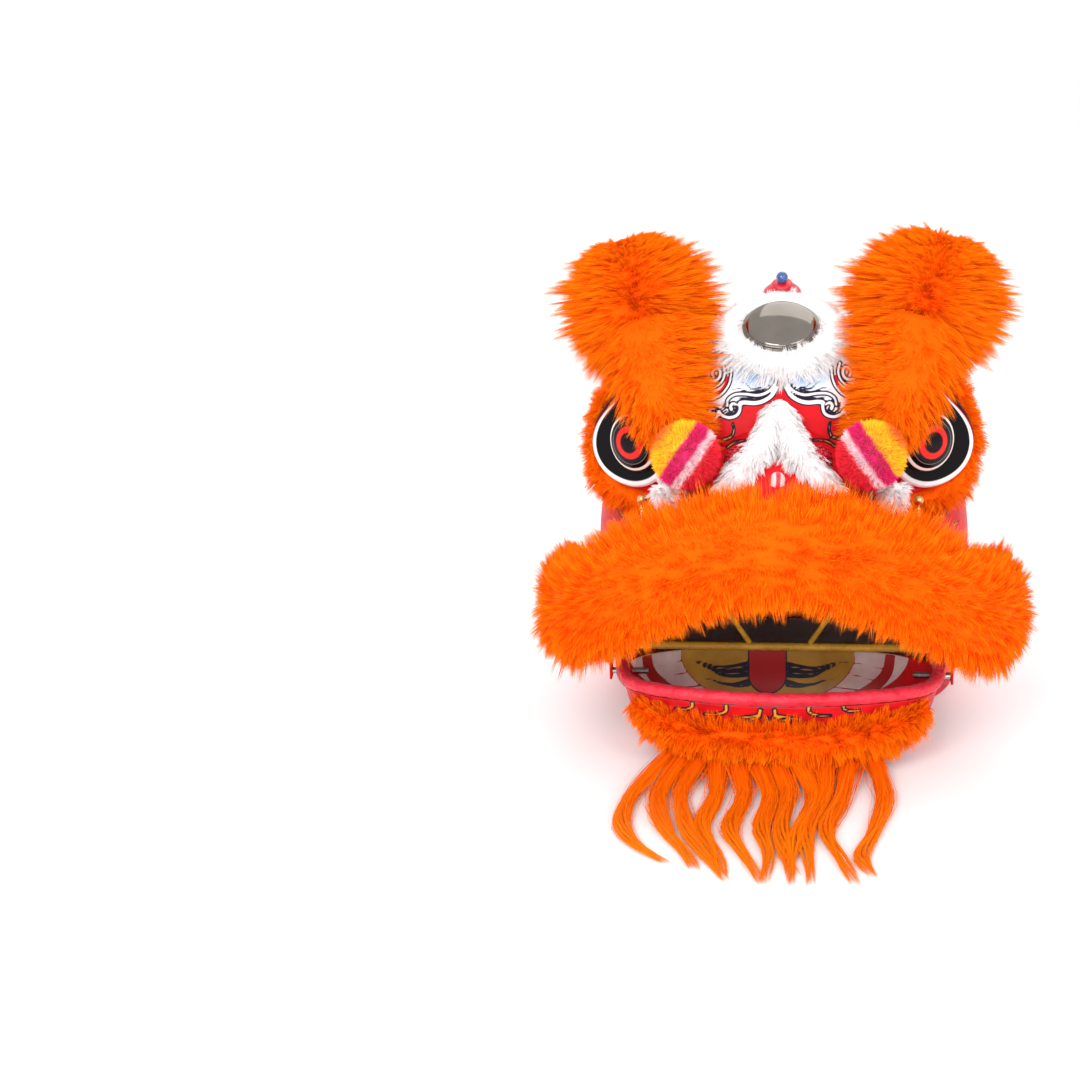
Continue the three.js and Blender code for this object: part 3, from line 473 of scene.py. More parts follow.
def get_points(mesh):
    points = np.empty(len(mesh.vertices) * 3)
    mesh.vertices.foreach_get("co", points)
    return points.reshape(-1, 3) / MM


def set_attribute(mesh, name, values):
    layer = mesh.attributes.new(name, "FLOAT", "POINT")
    layer.data.foreach_set("value", np.asarray(values, np.float32))


def wrapped_grid(name, columns, rows, wrap, merge=0.02):
    """A grid laid over a form: wrap(u, v) gives its points, and edges that meet are sewn together."""
    bpy.ops.object.select_all(action="DESELECT")
    bpy.ops.mesh.primitive_grid_add(x_subdivisions=columns, y_subdivisions=rows, size=1)
    piece = bpy.context.object
    piece.name = name
    piece.data.name = name
    flat = np.empty(len(piece.data.vertices) * 3)
    piece.data.vertices.foreach_get("co", flat)
    flat = flat.reshape(-1, 3) + 0.5
    set_points(piece.data, wrap(flat[:, 0], flat[:, 1]))
    bpy.ops.object.mode_set(mode="EDIT")
    bpy.ops.mesh.select_all(action="SELECT")
    bpy.ops.mesh.remove_doubles(threshold=merge * MM)
    bpy.ops.mesh.normals_make_consistent(inside=False)
    bpy.ops.object.mode_set(mode="OBJECT")
    bpy.ops.object.shade_smooth()
    return piece


def turned_piece(name, profile, foot, axis, columns=64, rows=48):
    """A piece turned on an axis from rows of radius and height."""
    axis = unit(np.asarray(axis, float))
    across = unit(np.cross(axis, [0.0, 1.0, 0.2]))
    other = np.cross(axis, across)

    def wrap(u, v):
        row = spline(profile, v)
        ring = np.outer(np.cos(2 * np.pi * u), across) + np.outer(np.sin(2 * np.pi * u), other)
        return foot + ring * np.maximum(row[:, :1], 0) + np.outer(row[:, 1], axis)

    return wrapped_grid(name, columns, rows, wrap)


def apply_modifier(piece, kind, **settings):
    bpy.ops.object.select_all(action="DESELECT")
    bpy.context.view_layer.objects.active = piece
    piece.select_set(True)
    modifier = piece.modifiers.new(kind.title(), kind)
    for key, value in settings.items():
        setattr(modifier, key, value)
    bpy.ops.object.modifier_apply(modifier=modifier.name)


def give_wall(piece, thickness, inner_slot=0):
    wall = {"thickness": thickness * MM, "offset": -1, "use_even_offset": True}
    apply_modifier(piece, "SOLIDIFY", material_offset=inner_slot, **wall)


def plain_box(name, low, high, sign=1):
    """A box between two corners, on the side of the head that the sign gives."""
    bpy.ops.object.select_all(action="DESELECT")
    bpy.ops.mesh.primitive_cube_add(size=1)
    piece = bpy.context.object
    piece.name = name
    points = mix(np.array(low, float), np.array(high, float), get_points(piece.data) * MM + 0.5)
    points[:, 0] *= sign
    set_points(piece.data, points)
    return piece


def bevelled_box(name, low, high, sign=1, bevel=1.0):
    """A small board with its edges eased."""
    piece = plain_box(name, low, high, sign)
    bpy.ops.object.mode_set(mode="EDIT")
    bpy.ops.mesh.select_all(action="SELECT")
    bpy.ops.mesh.normals_make_consistent(inside=False)
    bpy.ops.mesh.bevel(offset=bevel * MM, segments=2)
    bpy.ops.object.mode_set(mode="OBJECT")
    return piece


def cut_box(piece, low, high):
    cutter = plain_box("cutter", low, high)
    apply_modifier(piece, "BOOLEAN", operation="DIFFERENCE", object=cutter, solver="EXACT")
    bpy.data.objects.remove(cutter)


def join_pieces(first, *others):
    bpy.ops.object.select_all(action="DESELECT")
    for piece in (first, *others):
        piece.select_set(True)
    bpy.context.view_layer.objects.active = first
    bpy.ops.object.join()
    return first


def mirror_copy(piece, name):
    """A copy on the other side of the head, with its own mesh and its faces turned out again."""
    copy = piece.copy()
    copy.data = piece.data.copy()
    copy.name = name
    copy.data.name = name
    bpy.context.collection.objects.link(copy)
    points = get_points(copy.data)
    points[:, 0] *= -1
    set_points(copy.data, points)
    bpy.ops.object.select_all(action="DESELECT")
    bpy.context.view_layer.objects.active = copy
    copy.select_set(True)
    bpy.ops.object.mode_set(mode="EDIT")
    bpy.ops.mesh.select_all(action="SELECT")
    bpy.ops.mesh.flip_normals()
    bpy.ops.object.mode_set(mode="OBJECT")
    return copy


# Fur


class Strip:
    """A strip of fur along a path, with an oval section that is wide across and deep along its facing."""

    def __init__(self, path, facing, size, closed=False):
        self.path = path
        self.facing = facing
        self.size = size
        self.closed = closed

    def axes(self, t):
        step = 0.01
        low, high = t - step, t + step
        if not self.closed:
            low, high = np.clip(low, 0, 1), np.clip(high, 0, 1)
        along = unit(self.path(high) - self.path(low))
        facing = np.broadcast_to(self.facing(t), along.shape)
        out = unit(facing - along * (facing * along).sum(1, keepdims=True))
        return self.path(t), np.cross(along, out), out

    def at(self, t, turn, share):
        centre, across, out = self.axes(t)
        wide, deep = self.size(t)
        spread = across * (np.cos(turn) * wide * share)[:, None]
        return centre + (spread + out * (np.sin(turn) * deep * share)[:, None])

    def normal(self, t, turn):
        _centre, across, out = self.axes(t)
        wide, deep = self.size(t)
        return unit(across * (np.cos(turn) / wide)[:, None] + out * (np.sin(turn) / deep)[:, None])


class Ball:
    """A round ball of fur, where t runs from its top to its bottom."""

    closed = False

    def __init__(self, centre, radius):
        self.centre = np.asarray(centre, float)
        self.radius = radius

    def normal(self, t, turn):
        z = 1 - 2 * np.clip(t, 0, 1)
        ring = np.sqrt(np.maximum(0, 1 - z**2))
        return np.stack([ring * np.cos(turn), ring * np.sin(turn), z], axis=1)

    def at(self, t, turn, share):
        return self.centre + self.normal(t, turn) * self.radius * np.reshape(share, (-1, 1))


class Coat:
    """Collects the backing and strands of one fur piece, and makes its mesh."""

    def __init__(self, seed):
        self.rng = np.random.default_rng(seed)
        self.points = []
        self.quads = []
        self.triangles = []
        self.uv = []
        self.band = []
        self.total = 0

    def add(self, points, quads, triangles, uv, band):
        self.points.append(points)
        self.quads.append(quads + self.total)
        self.triangles.append(triangles + self.total)
        self.uv.append(uv)
        self.band.append(band)
        self.total += len(points)

    def backing(self, form, share, columns=48, rows=28, band=None):
        """The closed padded form under the strands."""
        rounds = np.linspace(0, 2 * np.pi, rows, endpoint=False)
        t, turn = np.repeat(np.linspace(0, 1, columns), rows), np.tile(rounds, columns)
        points = form.at(t, turn, np.full(t.shape, share))
        if not form.closed:
            for ring in (slice(0, rows), slice(-rows, None)):
                points[ring] = points[ring].mean(axis=0)
        i, k = np.meshgrid(np.arange(columns - 1), np.arange(rows), indexing="ij")
        i, k = i.ravel(), k.ravel()
        after = (k + 1) % rows
        quads = np.stack([i * rows + k, i * rows + after, (i + 1) * rows + after, (i + 1) * rows + k], axis=1)
        sample = quads[len(quads) // 2]
        corner = points[sample]
        facing = np.cross(corner[1] - corner[0], corner[2] - corner[0])
        if facing @ form.normal(t[sample[:1]], turn[sample[:1]])[0] < 0:
            quads = quads[:, ::-1]
        # The backing takes the strands' root colour, the painted shade at the foot of the coat.
        uv = np.zeros((len(points), 2)) + (0.5, 0.02)
        tone = np.zeros(len(points)) if band is None else band(points)
        self.add(points, quads, np.empty((0, 3), int), uv, tone)

    def strands(self, points, normals, width, band=None):
        """Ribbons through rows of points, each tapering to its tip and facing away from the backing."""
        count, steps, _ = points.shape
        along = np.gradient(points, axis=1)
        facing = normals[:, None, :] + 0.45 * self.rng.normal(size=(count, 1, 3))
        side = unit(np.cross(along, facing))
        taper = np.linspace(1, 0.25, steps)[None, :, None]
        half = side * taper * np.reshape(width, (-1, 1, 1)) / 2
        rows = steps - 1
        ribbon = np.stack([points[:, :rows] - half[:, :rows], points[:, :rows] + half[:, :rows]], axis=2)
        ribbon = np.concatenate([ribbon.reshape(count, 2 * rows, 3), points[:, -1:]], axis=1)
        size = 2 * rows + 1
        base = np.arange(count)[:, None] * size
        quads = [base + np.array([[2 * k, 2 * k + 1, 2 * k + 3, 2 * k + 2]]) for k in range(rows - 1)]
        quads = np.concatenate(quads)
        triangles = base + np.array([[2 * rows - 2, 2 * rows - 1, 2 * rows]])
        share = np.concatenate([np.repeat(np.linspace(0, 1, steps)[:rows], 2), [1.0]])
        tone = self.rng.random(count)
        uv = np.stack([np.repeat(tone, size), np.tile(share, count)], axis=1)
        tint = np.zeros(count) if band is None else band(points[:, -1])
        self.add(ribbon.reshape(-1, 3), quads, triangles, uv, np.repeat(tint, size))

    def comb(self, form, count, locks, root, reach, flow, width, turns=(0, 2 * math.pi), span=(0, 1), **look):
        """Strands over a form, gathered into locks. Flow gives how far each tip is combed over."""
        rng = self.rng
        clump = look.get("clump", 0.5)
        spread = look.get("spread", 0.35)
        ragged = look.get("ragged", 0.16)
        lift = look.get("lift", 0.1)
        density = bpy.context.scene.lion_sizes.fur_density
        count, locks = max(8, int(count * density)), max(8, int(locks * density))
        lock_t = rng.uniform(*span, locks)
        lock_turn = rng.uniform(*turns, locks)
        lock_size = 1 + ragged * rng.normal(size=locks)
        lean = rng.normal(size=(locks, 3)) * look.get("lean", 3.0)
        pick = rng.integers(0, locks, count)
        t = lock_t[pick] + rng.normal(size=count) * spread / math.sqrt(locks) * (span[1] - span[0])
        t = t % 1.0 if form.closed else np.clip(t, 0.002, 0.998)
        turn = lock_turn[pick] + rng.normal(size=count) * spread / math.sqrt(locks) * (turns[1] - turns[0])
        normal = form.normal(t, turn)
        start = form.at(t, turn, np.full(count, root))
        size = lock_size[pick] + 0.5 * ragged * rng.normal(size=count)
        size = np.clip(size, 0.6, 1.28)
        own = form.at(t, turn, reach * size) + flow(t, turn, start, normal) * size[:, None] + lean[pick]
        lock_start = form.at(lock_t, lock_turn, np.full(locks, root))
        lock_normal = form.normal(lock_t, lock_turn)
        lock_lay = flow(lock_t, lock_turn, lock_start, lock_normal)
        shared = form.at(lock_t, lock_turn, reach * lock_size) + lock_lay + lean
        tip = mix(own, shared[pick], clump * rng.uniform(0.5, 1.2, count)[:, None])
        length = np.linalg.norm(tip - start, axis=1, keepdims=True)
        middle = mix(start, tip, 0.52) + normal * length * lift + rng.normal(size=(count, 3)) * 0.8
        points = np.stack([start, middle, tip], axis=1)
        facing = unit(normal + 0.35 * unit(tip - start))
        keep = look.get("keep")
        if keep is not None:
            kept = keep(points)
            points, facing = points[kept], normal[kept]
        self.strands(points, facing, width * rng.uniform(0.6, 1.25, len(points)), look.get("band"))

    def make(self, name):
        points = np.concatenate(self.points)
        quads = np.concatenate(self.quads)
        triangles = np.concatenate(self.triangles)
        mesh = bpy.data.meshes.new(name)
        corners = np.concatenate([quads.ravel(), triangles.ravel()])
        starts = np.concatenate([np.arange(len(quads)) * 4, 4 * len(quads) + np.arange(len(triangles)) * 3])
        mesh.vertices.add(len(points))
        mesh.loops.add(len(corners))
        mesh.polygons.add(len(starts))
        mesh.vertices.foreach_set("co", (points * MM).ravel())
        mesh.loops.foreach_set("vertex_index", corners.astype(np.int32))
        mesh.polygons.foreach_set("loop_start", starts.astype(np.int32))
        mesh.polygons.foreach_set("use_smooth", np.ones(len(starts), bool))
        mesh.update(calc_edges=True)
        layer = mesh.uv_layers.new(name="strand")
        layer.data.foreach_set("uv", np.concatenate(self.uv)[corners].ravel())
        set_attribute(mesh, "band", np.concatenate(self.band))
        piece = bpy.data.objects.new(name, mesh)
        bpy.context.collection.objects.link(piece)
        return piece


def down(amount):
    return lambda t, turn, start, normal: np.array([0, 0, -amount]) + 0 * start


def rounded_ends(wide, deep, ends=0.3):
    def size(t):
        full = np.minimum(1, np.sqrt(np.abs(np.sin(np.pi * np.clip(t, 0, 1)))) + ends * 0.5)
        share = np.maximum(ends, full)
        return wide * share, deep * share

    return size


# Materials


class Finish:
    """A node material under way: adds nodes and links with few words."""

    def __init__(self, name):
        self.material = bpy.data.materials.new(name)
        self.material.use_nodes = True
        self.tree = self.material.node_tree
        self.shader = self.tree.nodes["Principled BSDF"]

    def node(self, kind, inputs=None, **settings):
        node = self.tree.nodes.new(kind)
        for key, value in settings.items():
            setattr(node, key, value)
        for key, value in (inputs or {}).items():
            self.feed(node.inputs[key], value)
        return node

    def feed(self, socket, value):
        if isinstance(value, bpy.types.NodeSocket):
            self.tree.links.new(value, socket)
        elif hasattr(value, "__len__") and len(value) == 3 and socket.type == "RGBA":
            socket.default_value = (*value, 1)
        else:
            socket.default_value = value

    def set(self, **inputs):
        for key, value in inputs.items():
            self.feed(self.shader.inputs[key.replace("_", " ")], value)

    def place(self):
        return self.node("ShaderNodeTexCoord").outputs["Object"]

    def attribute(self, name):
        return self.node("ShaderNodeAttribute", attribute_name=name).outputs["Fac"]

    def noise(self, scale, detail=4.0, roughness=0.55, vector=None):
        inputs = {"Scale": scale, "Detail": detail, "Roughness": roughness, "Vector": vector or self.place()}
        return self.node("ShaderNodeTexNoise", inputs).outputs["Fac"]

    def ramp(self, factor, stops, interpolation="LINEAR"):
        node = self.node("ShaderNodeValToRGB", {"Fac": factor})
        elements = node.color_ramp.elements
        node.color_ramp.interpolation = interpolation
        while len(elements) < len(stops):
            elements.new(0.5)
        for element, (place, value) in zip(elements, stops):
            element.position = place
            element.color = (*value, 1)
        return node.outputs["Color"]

    def math(self, operation, a, b=0.0, clamp=False):
        node = self.node("ShaderNodeMath", operation=operation, use_clamp=clamp)
        self.feed(node.inputs[0], a)
        self.feed(node.inputs[1], b)
        return node.outputs[0]

    def blend(self, factor, a, b, mode="MIX"):
        node = self.node("ShaderNodeMix", data_type="RGBA", blend_type=mode)
        self.feed(node.inputs["Factor"], factor)
        self.feed(node.inputs[6], a)
        self.feed(node.inputs[7], b)
        return node.outputs[2]

    def spread(self, value, source, target):
        """A value carried from one range to another, and held at its ends."""
        names = ("From Min", "From Max", "To Min", "To Max")
        inputs = {"Value": value, **dict(zip(names, (*source, *target)))}
        return self.node("ShaderNodeMapRange", inputs).outputs["Result"]

    def below(self, distance, edge=0.0, soft=0.35):
        """1 where a distance attribute is under an edge, with a soft step across it."""
        return self.spread(distance, (edge - soft, edge + soft), (1.0, 0.0))

    def bump(self, height, strength, distance):
        inputs = {"Height": height, "Strength": strength, "Distance": distance}
        self.set(Normal=self.node("ShaderNodeBump", inputs).outputs["Normal"])


def fur_finish(name, stops, sheen, gloss=0.06, roughness=0.75, vary=0.23):
    """Fur whose colour deepens towards its roots, painted shade deep in the coat, with strands of slightly
    different shades.
    """
    finish = Finish(name)
    uv = finish.node("ShaderNodeUVMap", uv_map="strand").outputs["UV"]
    split = finish.node("ShaderNodeSeparateXYZ", {"Vector": uv}).outputs
    along = finish.ramp(split["Y"], stops)
    patches = finish.math("MULTIPLY", finish.noise(28.0, 3.0), vary)
    shade = finish.math("ADD", finish.math("MULTIPLY", split["X"], vary), patches)
    value = finish.math("ADD", shade, 1 - vary)
    hue = finish.math("ADD", finish.math("MULTIPLY", split["X"], 0.012), 0.494)
    tone = finish.node("ShaderNodeHueSaturation", {"Color": along, "Value": value, "Hue": hue})
    finish.set(Base_Color=tone.outputs["Color"], Roughness=roughness, Sheen_Weight=sheen, Sheen_Roughness=0.5)
    finish.set(Specular_IOR_Level=gloss)
    return finish.material


def orange_fur(colours):
    # The dark root stop paints the shade deep in the orange coat.
    stops = [(0.0, colours.orange_root), (0.45, colours.orange_middle), (1.0, colours.orange_tip)]
    return fur_finish("orange_fur", stops, 0.0)


def white_fur(colours):
    # The grey-pink root stop paints the shade deep in the white coat.
    middle = [mix(a, b, 0.7) for a, b in zip(colours.white_root, colours.white_tip)]
    stops = [(0.0, colours.white_root), (0.4, middle), (1.0, colours.white_tip)]
    return fur_finish("white_fur", stops, 0.3, 0.3, vary=0.06)


def face_paint(colours):
    """Red lacquer with white cloud scrolls, ink lines and gold flames painted on it."""
    finish = Finish("face_paint")
    deep = [c * 0.75 for c in colours.red_paint]
    red = finish.ramp(finish.noise(34.0, 6.0), [(0.3, deep), (0.6, colours.red_paint)])
    ragged = finish.math("MULTIPLY", finish.noise(20.0, 2.0), 12.0)
    wide = finish.math("DIVIDE", finish.math("ADD", finish.attribute("aside"), ragged), 100.0)
    stops = [
        (0.12, (0.6, 0.62, 0.74)),
        (0.3, (0.24, 0.45, 0.72)),
        (0.5, (0.55, 0.66, 0.78)),
        (0.62, (0.88, 0.56, 0.42)),
    ]
    sky = finish.ramp(wide, stops)
    pale = finish.ramp(finish.noise(16.0, 2.0), [(0.35, (0.74, 0.78, 0.84)), (0.6, (0.92, 0.84, 0.82))])
    near = finish.math("DIVIDE", finish.attribute("fall"), 50.0)
    sky = finish.blend(finish.ramp(near, [(0.4, (0,) * 3), (0.7, (1,) * 3)]), sky, pale)
    tone = finish.blend(finish.below(finish.attribute("cloud")), red, sky)
    tone = finish.blend(finish.below(finish.attribute("crescent")), tone, colours.red_paint)
    tone = finish.blend(finish.below(finish.attribute("ink")), tone, colours.ink)
    tone = finish.blend(finish.below(finish.attribute("white")), tone, pale)
    tone = finish.blend(finish.below(finish.attribute("gold")), tone, colours.gold_paint)
    # The shell under the collar fur takes the white fur's root colour, the grey-pink of its painted shade.
    tone = finish.blend(finish.below(finish.attribute("collar")), tone, colours.white_root)
    finish.set(Base_Color=tone, Specular_IOR_Level=0.12)
    finish.set(Roughness=finish.ramp(finish.noise(90.0), [(0.3, (0.36,) * 3), (0.7, (0.5,) * 3)]))
    finish.bump(finish.noise(240.0, 3.0), 0.12, 0.001)
    return finish.material


def jaw_paint(colours):
    """The jaw's painting: gold palate with ink strokes, a red tongue, pale teeth and flames below the lip."""
    finish = Finish("jaw_paint")
    deep = [c * 0.7 for c in colours.red_paint]
    red = finish.ramp(finish.noise(40.0, 5.0), [(0.3, deep), (0.65, colours.red_paint)])
    teeth = finish.ramp(finish.noise(30.0, 3.0), [(0.3, (0.62, 0.42, 0.4)), (0.7, (0.82, 0.66, 0.62))])
    palate = finish.ramp(finish.noise(25.0, 4.0), [(0.3, (0.42, 0.2, 0.015)), (0.7, (0.6, 0.33, 0.03))])
    tone = finish.blend(finish.below(finish.attribute("teeth")), red, teeth)
    tone = finish.blend(finish.below(finish.attribute("band")), tone, (0.42, 0.012, 0.01))
    tone = finish.blend(finish.below(finish.attribute("panel")), tone, palate)
    tone = finish.blend(finish.below(finish.attribute("ink")), tone, colours.ink)
    tone = finish.blend(finish.below(finish.attribute("tongue")), tone, (0.52, 0.008, 0.012))
    tone = finish.blend(finish.below(finish.attribute("gold")), tone, colours.gold_paint)
    finish.set(Base_Color=tone, Roughness=0.4, Specular_IOR_Level=0.3)
    finish.bump(finish.noise(200.0, 3.0), 0.1, 0.001)
    return finish.material


FACE_LAYERS = ("cloud", "crescent", "ink", "white", "gold")
JAW_LAYERS = ("teeth", "band", "panel", "ink", "tongue", "gold")


def paint_face(mesh):
    def front(points):
        return (points[:, 1] < 120) & (points[:, 2] > 330)

    def cheek(points):
        return (points[:, 1] < 140) & (points[:, 2] > 240) & (np.abs(points[:, 0]) > 150)

    points = get_points(mesh)
    seen = face_view(points)
    off = points - MIRROR_FOOT
    radial = off @ (np.eye(3) - np.outer(MIRROR_FACE, MIRROR_FACE))
    from_edge = np.linalg.norm(radial, axis=1) - COLLAR_PAINT["radius"]
    middle, top = PICTURE["forehead"]
    set_attribute(mesh, "aside", np.abs(seen[:, 0] - middle))
    set_attribute(mesh, "fall", seen[:, 1] - top)
    set_attribute(mesh, "collar", np.where(off @ MIRROR_FACE > -COLLAR_PAINT["depth"], from_edge, FAR))
    cloud = [("cloud", CLOUD_EDGE, [(40, -400), (716, -400)])]
    draw_on(mesh, FACE_DRAWING, FACE_LINES, FACE_LAYERS, front, cloud)
    draw_on(mesh, CHEEK_DRAWING, CHEEK_LINES, ("ink", "gold"), cheek)


def dark_lining(_colours):
    """The unpainted inside of the shell: bamboo-brown paper in shadow."""
    finish = Finish("dark_lining")
    tone = finish.ramp(finish.noise(60.0, 5.0), [(0.35, (0.02, 0.012, 0.01)), (0.7, (0.06, 0.035, 0.025))])
    finish.set(Base_Color=tone, Roughness=0.9)
    finish.bump(finish.noise(180.0), 0.3, 0.001)
    return finish.material


def red_cloth(colours):
    """Satin wrapped round a cane, with a fine weave and long soft folds."""
    finish = Finish("lip_satin")
    light = [min(1, c * 1.25 + 0.03) for c in colours.lip_cloth]
    tone = finish.ramp(finish.noise(46.0, 5.0), [(0.3, colours.lip_cloth), (0.7, light)])
    finish.set(Base_Color=tone, Roughness=0.42, Specular_IOR_Level=0.35, Sheen_Weight=0.08)
    finish.bump(finish.noise(210.0, 5.0), 0.6, 0.003)
    return finish.material


def plain_finish(name, dark, light, scale, roughness, metallic=0.0, coat=0.0, bump=0.1):
    """A small mottled finish with a fine grain in its surface."""
    finish = Finish(name)
    tone = finish.ramp(finish.noise(scale, 5.0), [(0.3, dark), (0.7, light)])
    finish.set(Base_Color=tone, Roughness=roughness, Metallic=metallic, Coat_Weight=coat, Coat_Roughness=0.1)
    if bump:
        finish.bump(finish.noise(scale * 5, 3.0), bump, 0.001)
    return finish.material


def wool_stripes(colours):
    """Trimmed wool in broad stripes across each pompom."""
    finish = Finish("striped_wool")
    red = (0.86, 0.01, 0.04)
    pale = (0.95, 0.72, 0.76)
    wander = finish.math("MULTIPLY", finish.math("SUBTRACT", finish.noise(60.0, 2.0), 0.5), 0.10)
    stripe = finish.math("ADD", finish.attribute("band"), wander)
    stops = [
        (0.0, (0.85, 0.1, 0.01)),
        (0.12, colours.wool_yellow),
        (0.33, colours.wool_yellow),
        (0.37, colours.wool_magenta),
        (0.56, colours.wool_magenta),
        (0.6, pale),
        (0.69, pale),
        (0.73, red),
        (1.0, red),
    ]
    stripes = finish.ramp(stripe, stops)
    uv = finish.node("ShaderNodeUVMap", uv_map="strand").outputs["UV"]
    split = finish.node("ShaderNodeSeparateXYZ", {"Vector": uv}).outputs
    # Darker at the roots of the wool and lighter at the tips: painted shade down among the strands, with a
    # random shade for each strand.
    tips, strands = (finish.math("MULTIPLY", split[axis], 0.3) for axis in "YX")
    value = finish.math("ADD", finish.math("ADD", tips, strands), 0.75)
    tone = finish.node("ShaderNodeHueSaturation", {"Color": stripes, "Value": value})
    finish.set(Base_Color=tone.outputs["Color"], Roughness=0.8, Sheen_Weight=0.15, Sheen_Roughness=0.5)
    return finish.material


# Operators


class LIONHEAD_OT_stage(bpy.types.Operator):
    """Lay the floor, set the soft studio lights and place the camera"""

    bl_idname = "lionhead.stage"
    bl_label = "Stage"

    def execute(self, context):
        bpy.ops.object.select_all(action="DESELECT")
        bpy.ops.mesh.primitive_plane_add(size=14)
        floor = context.object
        floor.name = "studio_floor"
        finish = Finish("studio_white")
        tone = finish.ramp(finish.noise(3.0, 2.0), [(0.0, (0.94,) * 3), (1.0, (0.97,) * 3)])
        finish.set(Base_Color=tone, Roughness=0.85)
        floor.data.materials.append(finish.material)

        world = bpy.data.worlds.new("studio")
        world.use_nodes = True
        background = world.node_tree.nodes["Background"]
        background.inputs["Color"].default_value = (1, 1, 1, 1)
        background.inputs["Strength"].default_value = 1.05
        context.scene.world = world
        context.scene.view_settings.view_transform = "Standard"
        lamps = [
            ("key_light", (-1.0, -2.3, 1.9), 1.5, 38),
            ("fill_light", (1.7, -1.6, 1.5), 1.5, 16),
            ("back_light", (0.4, 2.0, 2.4), 1.8, 12),
            ("low_front_light", (0.1, -2.6, 0.6), 1.0, 14),
        ]
        for name, place, size, power in lamps:
            bpy.ops.object.light_add(type="AREA", location=place)
            lamp = context.object
            lamp.name = name
            lamp.data.size = size
            lamp.data.energy = power
            towards = np.array([0, 0, 0.25]) - np.array(place)
            lamp.rotation_euler = (
                math.atan2(math.hypot(towards[0], towards[1]), -towards[2]),
                0,
                math.atan2(towards[1], towards[0]) - math.pi / 2,
            )

        bpy.ops.object.camera_add()
        camera = context.object
        camera.name = "photo_camera"
        camera.data.lens = VIEW["lens"]
        camera.data.sensor_width = SENSOR
        camera.location = (np.array(VIEW["target"]) + camera_way() * VIEW["distance"]) * MM
        level = Euler((math.radians(90 - VIEW["lift"]), 0, math.radians(VIEW["turn"]))).to_matrix()
        camera.rotation_euler = (level @ Matrix.Rotation(math.radians(VIEW["aside"]), 3, "Y")).to_euler()
        context.scene.camera = camera
        return {"FINISHED"}


class LIONHEAD_OT_dome(bpy.types.Operator):
    """Wrap the painted dome and bind its neck hoop"""

    bl_idname = "lionhead.dome"
    bl_label = "Dome and neck hoop"

    def execute(self, context):
        colours = context.scene.lion_colours

        def wrap(u, v):
            angle = math.pi / 2 + 2 * math.pi * np.interp(u, [0, 0.13, 0.87, 1], [0, 0.25, 0.75, 1])
            level = np.interp(v, [0, 0.12, 0.9, 1], [0, 1.9, 6.1, len(DOME_LEVELS) - 1])
            return dome_point(angle, level)

        dome = wrapped_grid("head_dome", 300, 140, wrap)
        dome.data.materials.append(face_paint(colours))
        dome.data.materials.append(dark_lining(colours))
        give_wall(dome, WALL, 1)
        side = PASSAGE["half_width"]
        cut_box(dome, (-side, -200, -30), (side, PASSAGE["back"], PASSAGE["top"]))
        paint_face(dome.data)
        finish_piece(dome, None, "head", ["head_shell"])

        def hoop(u, v):
            angle = math.pi / 2 + mix(-1, 1, u) * math.radians(127)
            turn = 2 * math.pi * v
            end = (u < 0.001) | (u > 0.999)
            grow = np.where(end, -4, -4 + 5 * rounded(np.cos(turn), 5))
            x, y = oval(224, 40, 379, angle, DOME_SQUARENESS, grow)
            height = np.where(end, 0, 4.9)
            return np.stack([x, y, 5.0 + height * rounded(np.sin(turn), 5)], axis=1)

        ring = wrapped_grid("neck_hoop", 240, 20, hoop)
        binding = plain_finish("neck_binding", (0.4, 0.004, 0.01), (0.62, 0.01, 0.025), 120.0, 0.6, bump=0.4)
        finish_piece(ring, binding, "head", ["neck_rim"])
        return {"FINISHED"}


class LIONHEAD_OT_muzzle(bpy.types.Operator):
    """Wrap the muzzle that carries the mouth fur, with its hinge tabs"""

    bl_idname = "lionhead.muzzle"
    bl_label = "Muzzle"

    def execute(self, context):
        colours = context.scene.lion_colours

        def wrap(u, v):
            angle = mix(-MUZZLE_TURN, MUZZLE_TURN, u)
            side = np.sin(angle)
            edge, outward = muzzle_edge(angle), muzzle_outward(angle)
            rows = [edge + outward * out + np.array([0, 0, up]) for out, up in MUZZLE_FACE]
            root = np.stack([195 * side, 45 + 65 * side**2, 405 - 210 * side**2], axis=1)
            roof = mix(rows[-1], root, 0.5) + np.array([0, 0, 8])
            return spline(np.stack([*rows, roof, root]), v * 0.93)

        muzzle = wrapped_grid("muzzle", 240, 100, wrap)
        muzzle.data.materials.append(face_paint(colours))
        muzzle.data.materials.append(dark_lining(colours))
        give_wall(muzzle, WALL, 1)
        tabs = [bevelled_box("hinge_tab", *tab, sign) for _side, sign in SIDES for tab in HINGE_TABS]
        for tab in tabs:
            tab.data.materials.append(muzzle.data.materials[0])
        muzzle = join_pieces(muzzle, *tabs)
        paint_face(muzzle.data)
        finish_piece(muzzle, None, "head", ["upper_jaw"])
        return {"FINISHED"}


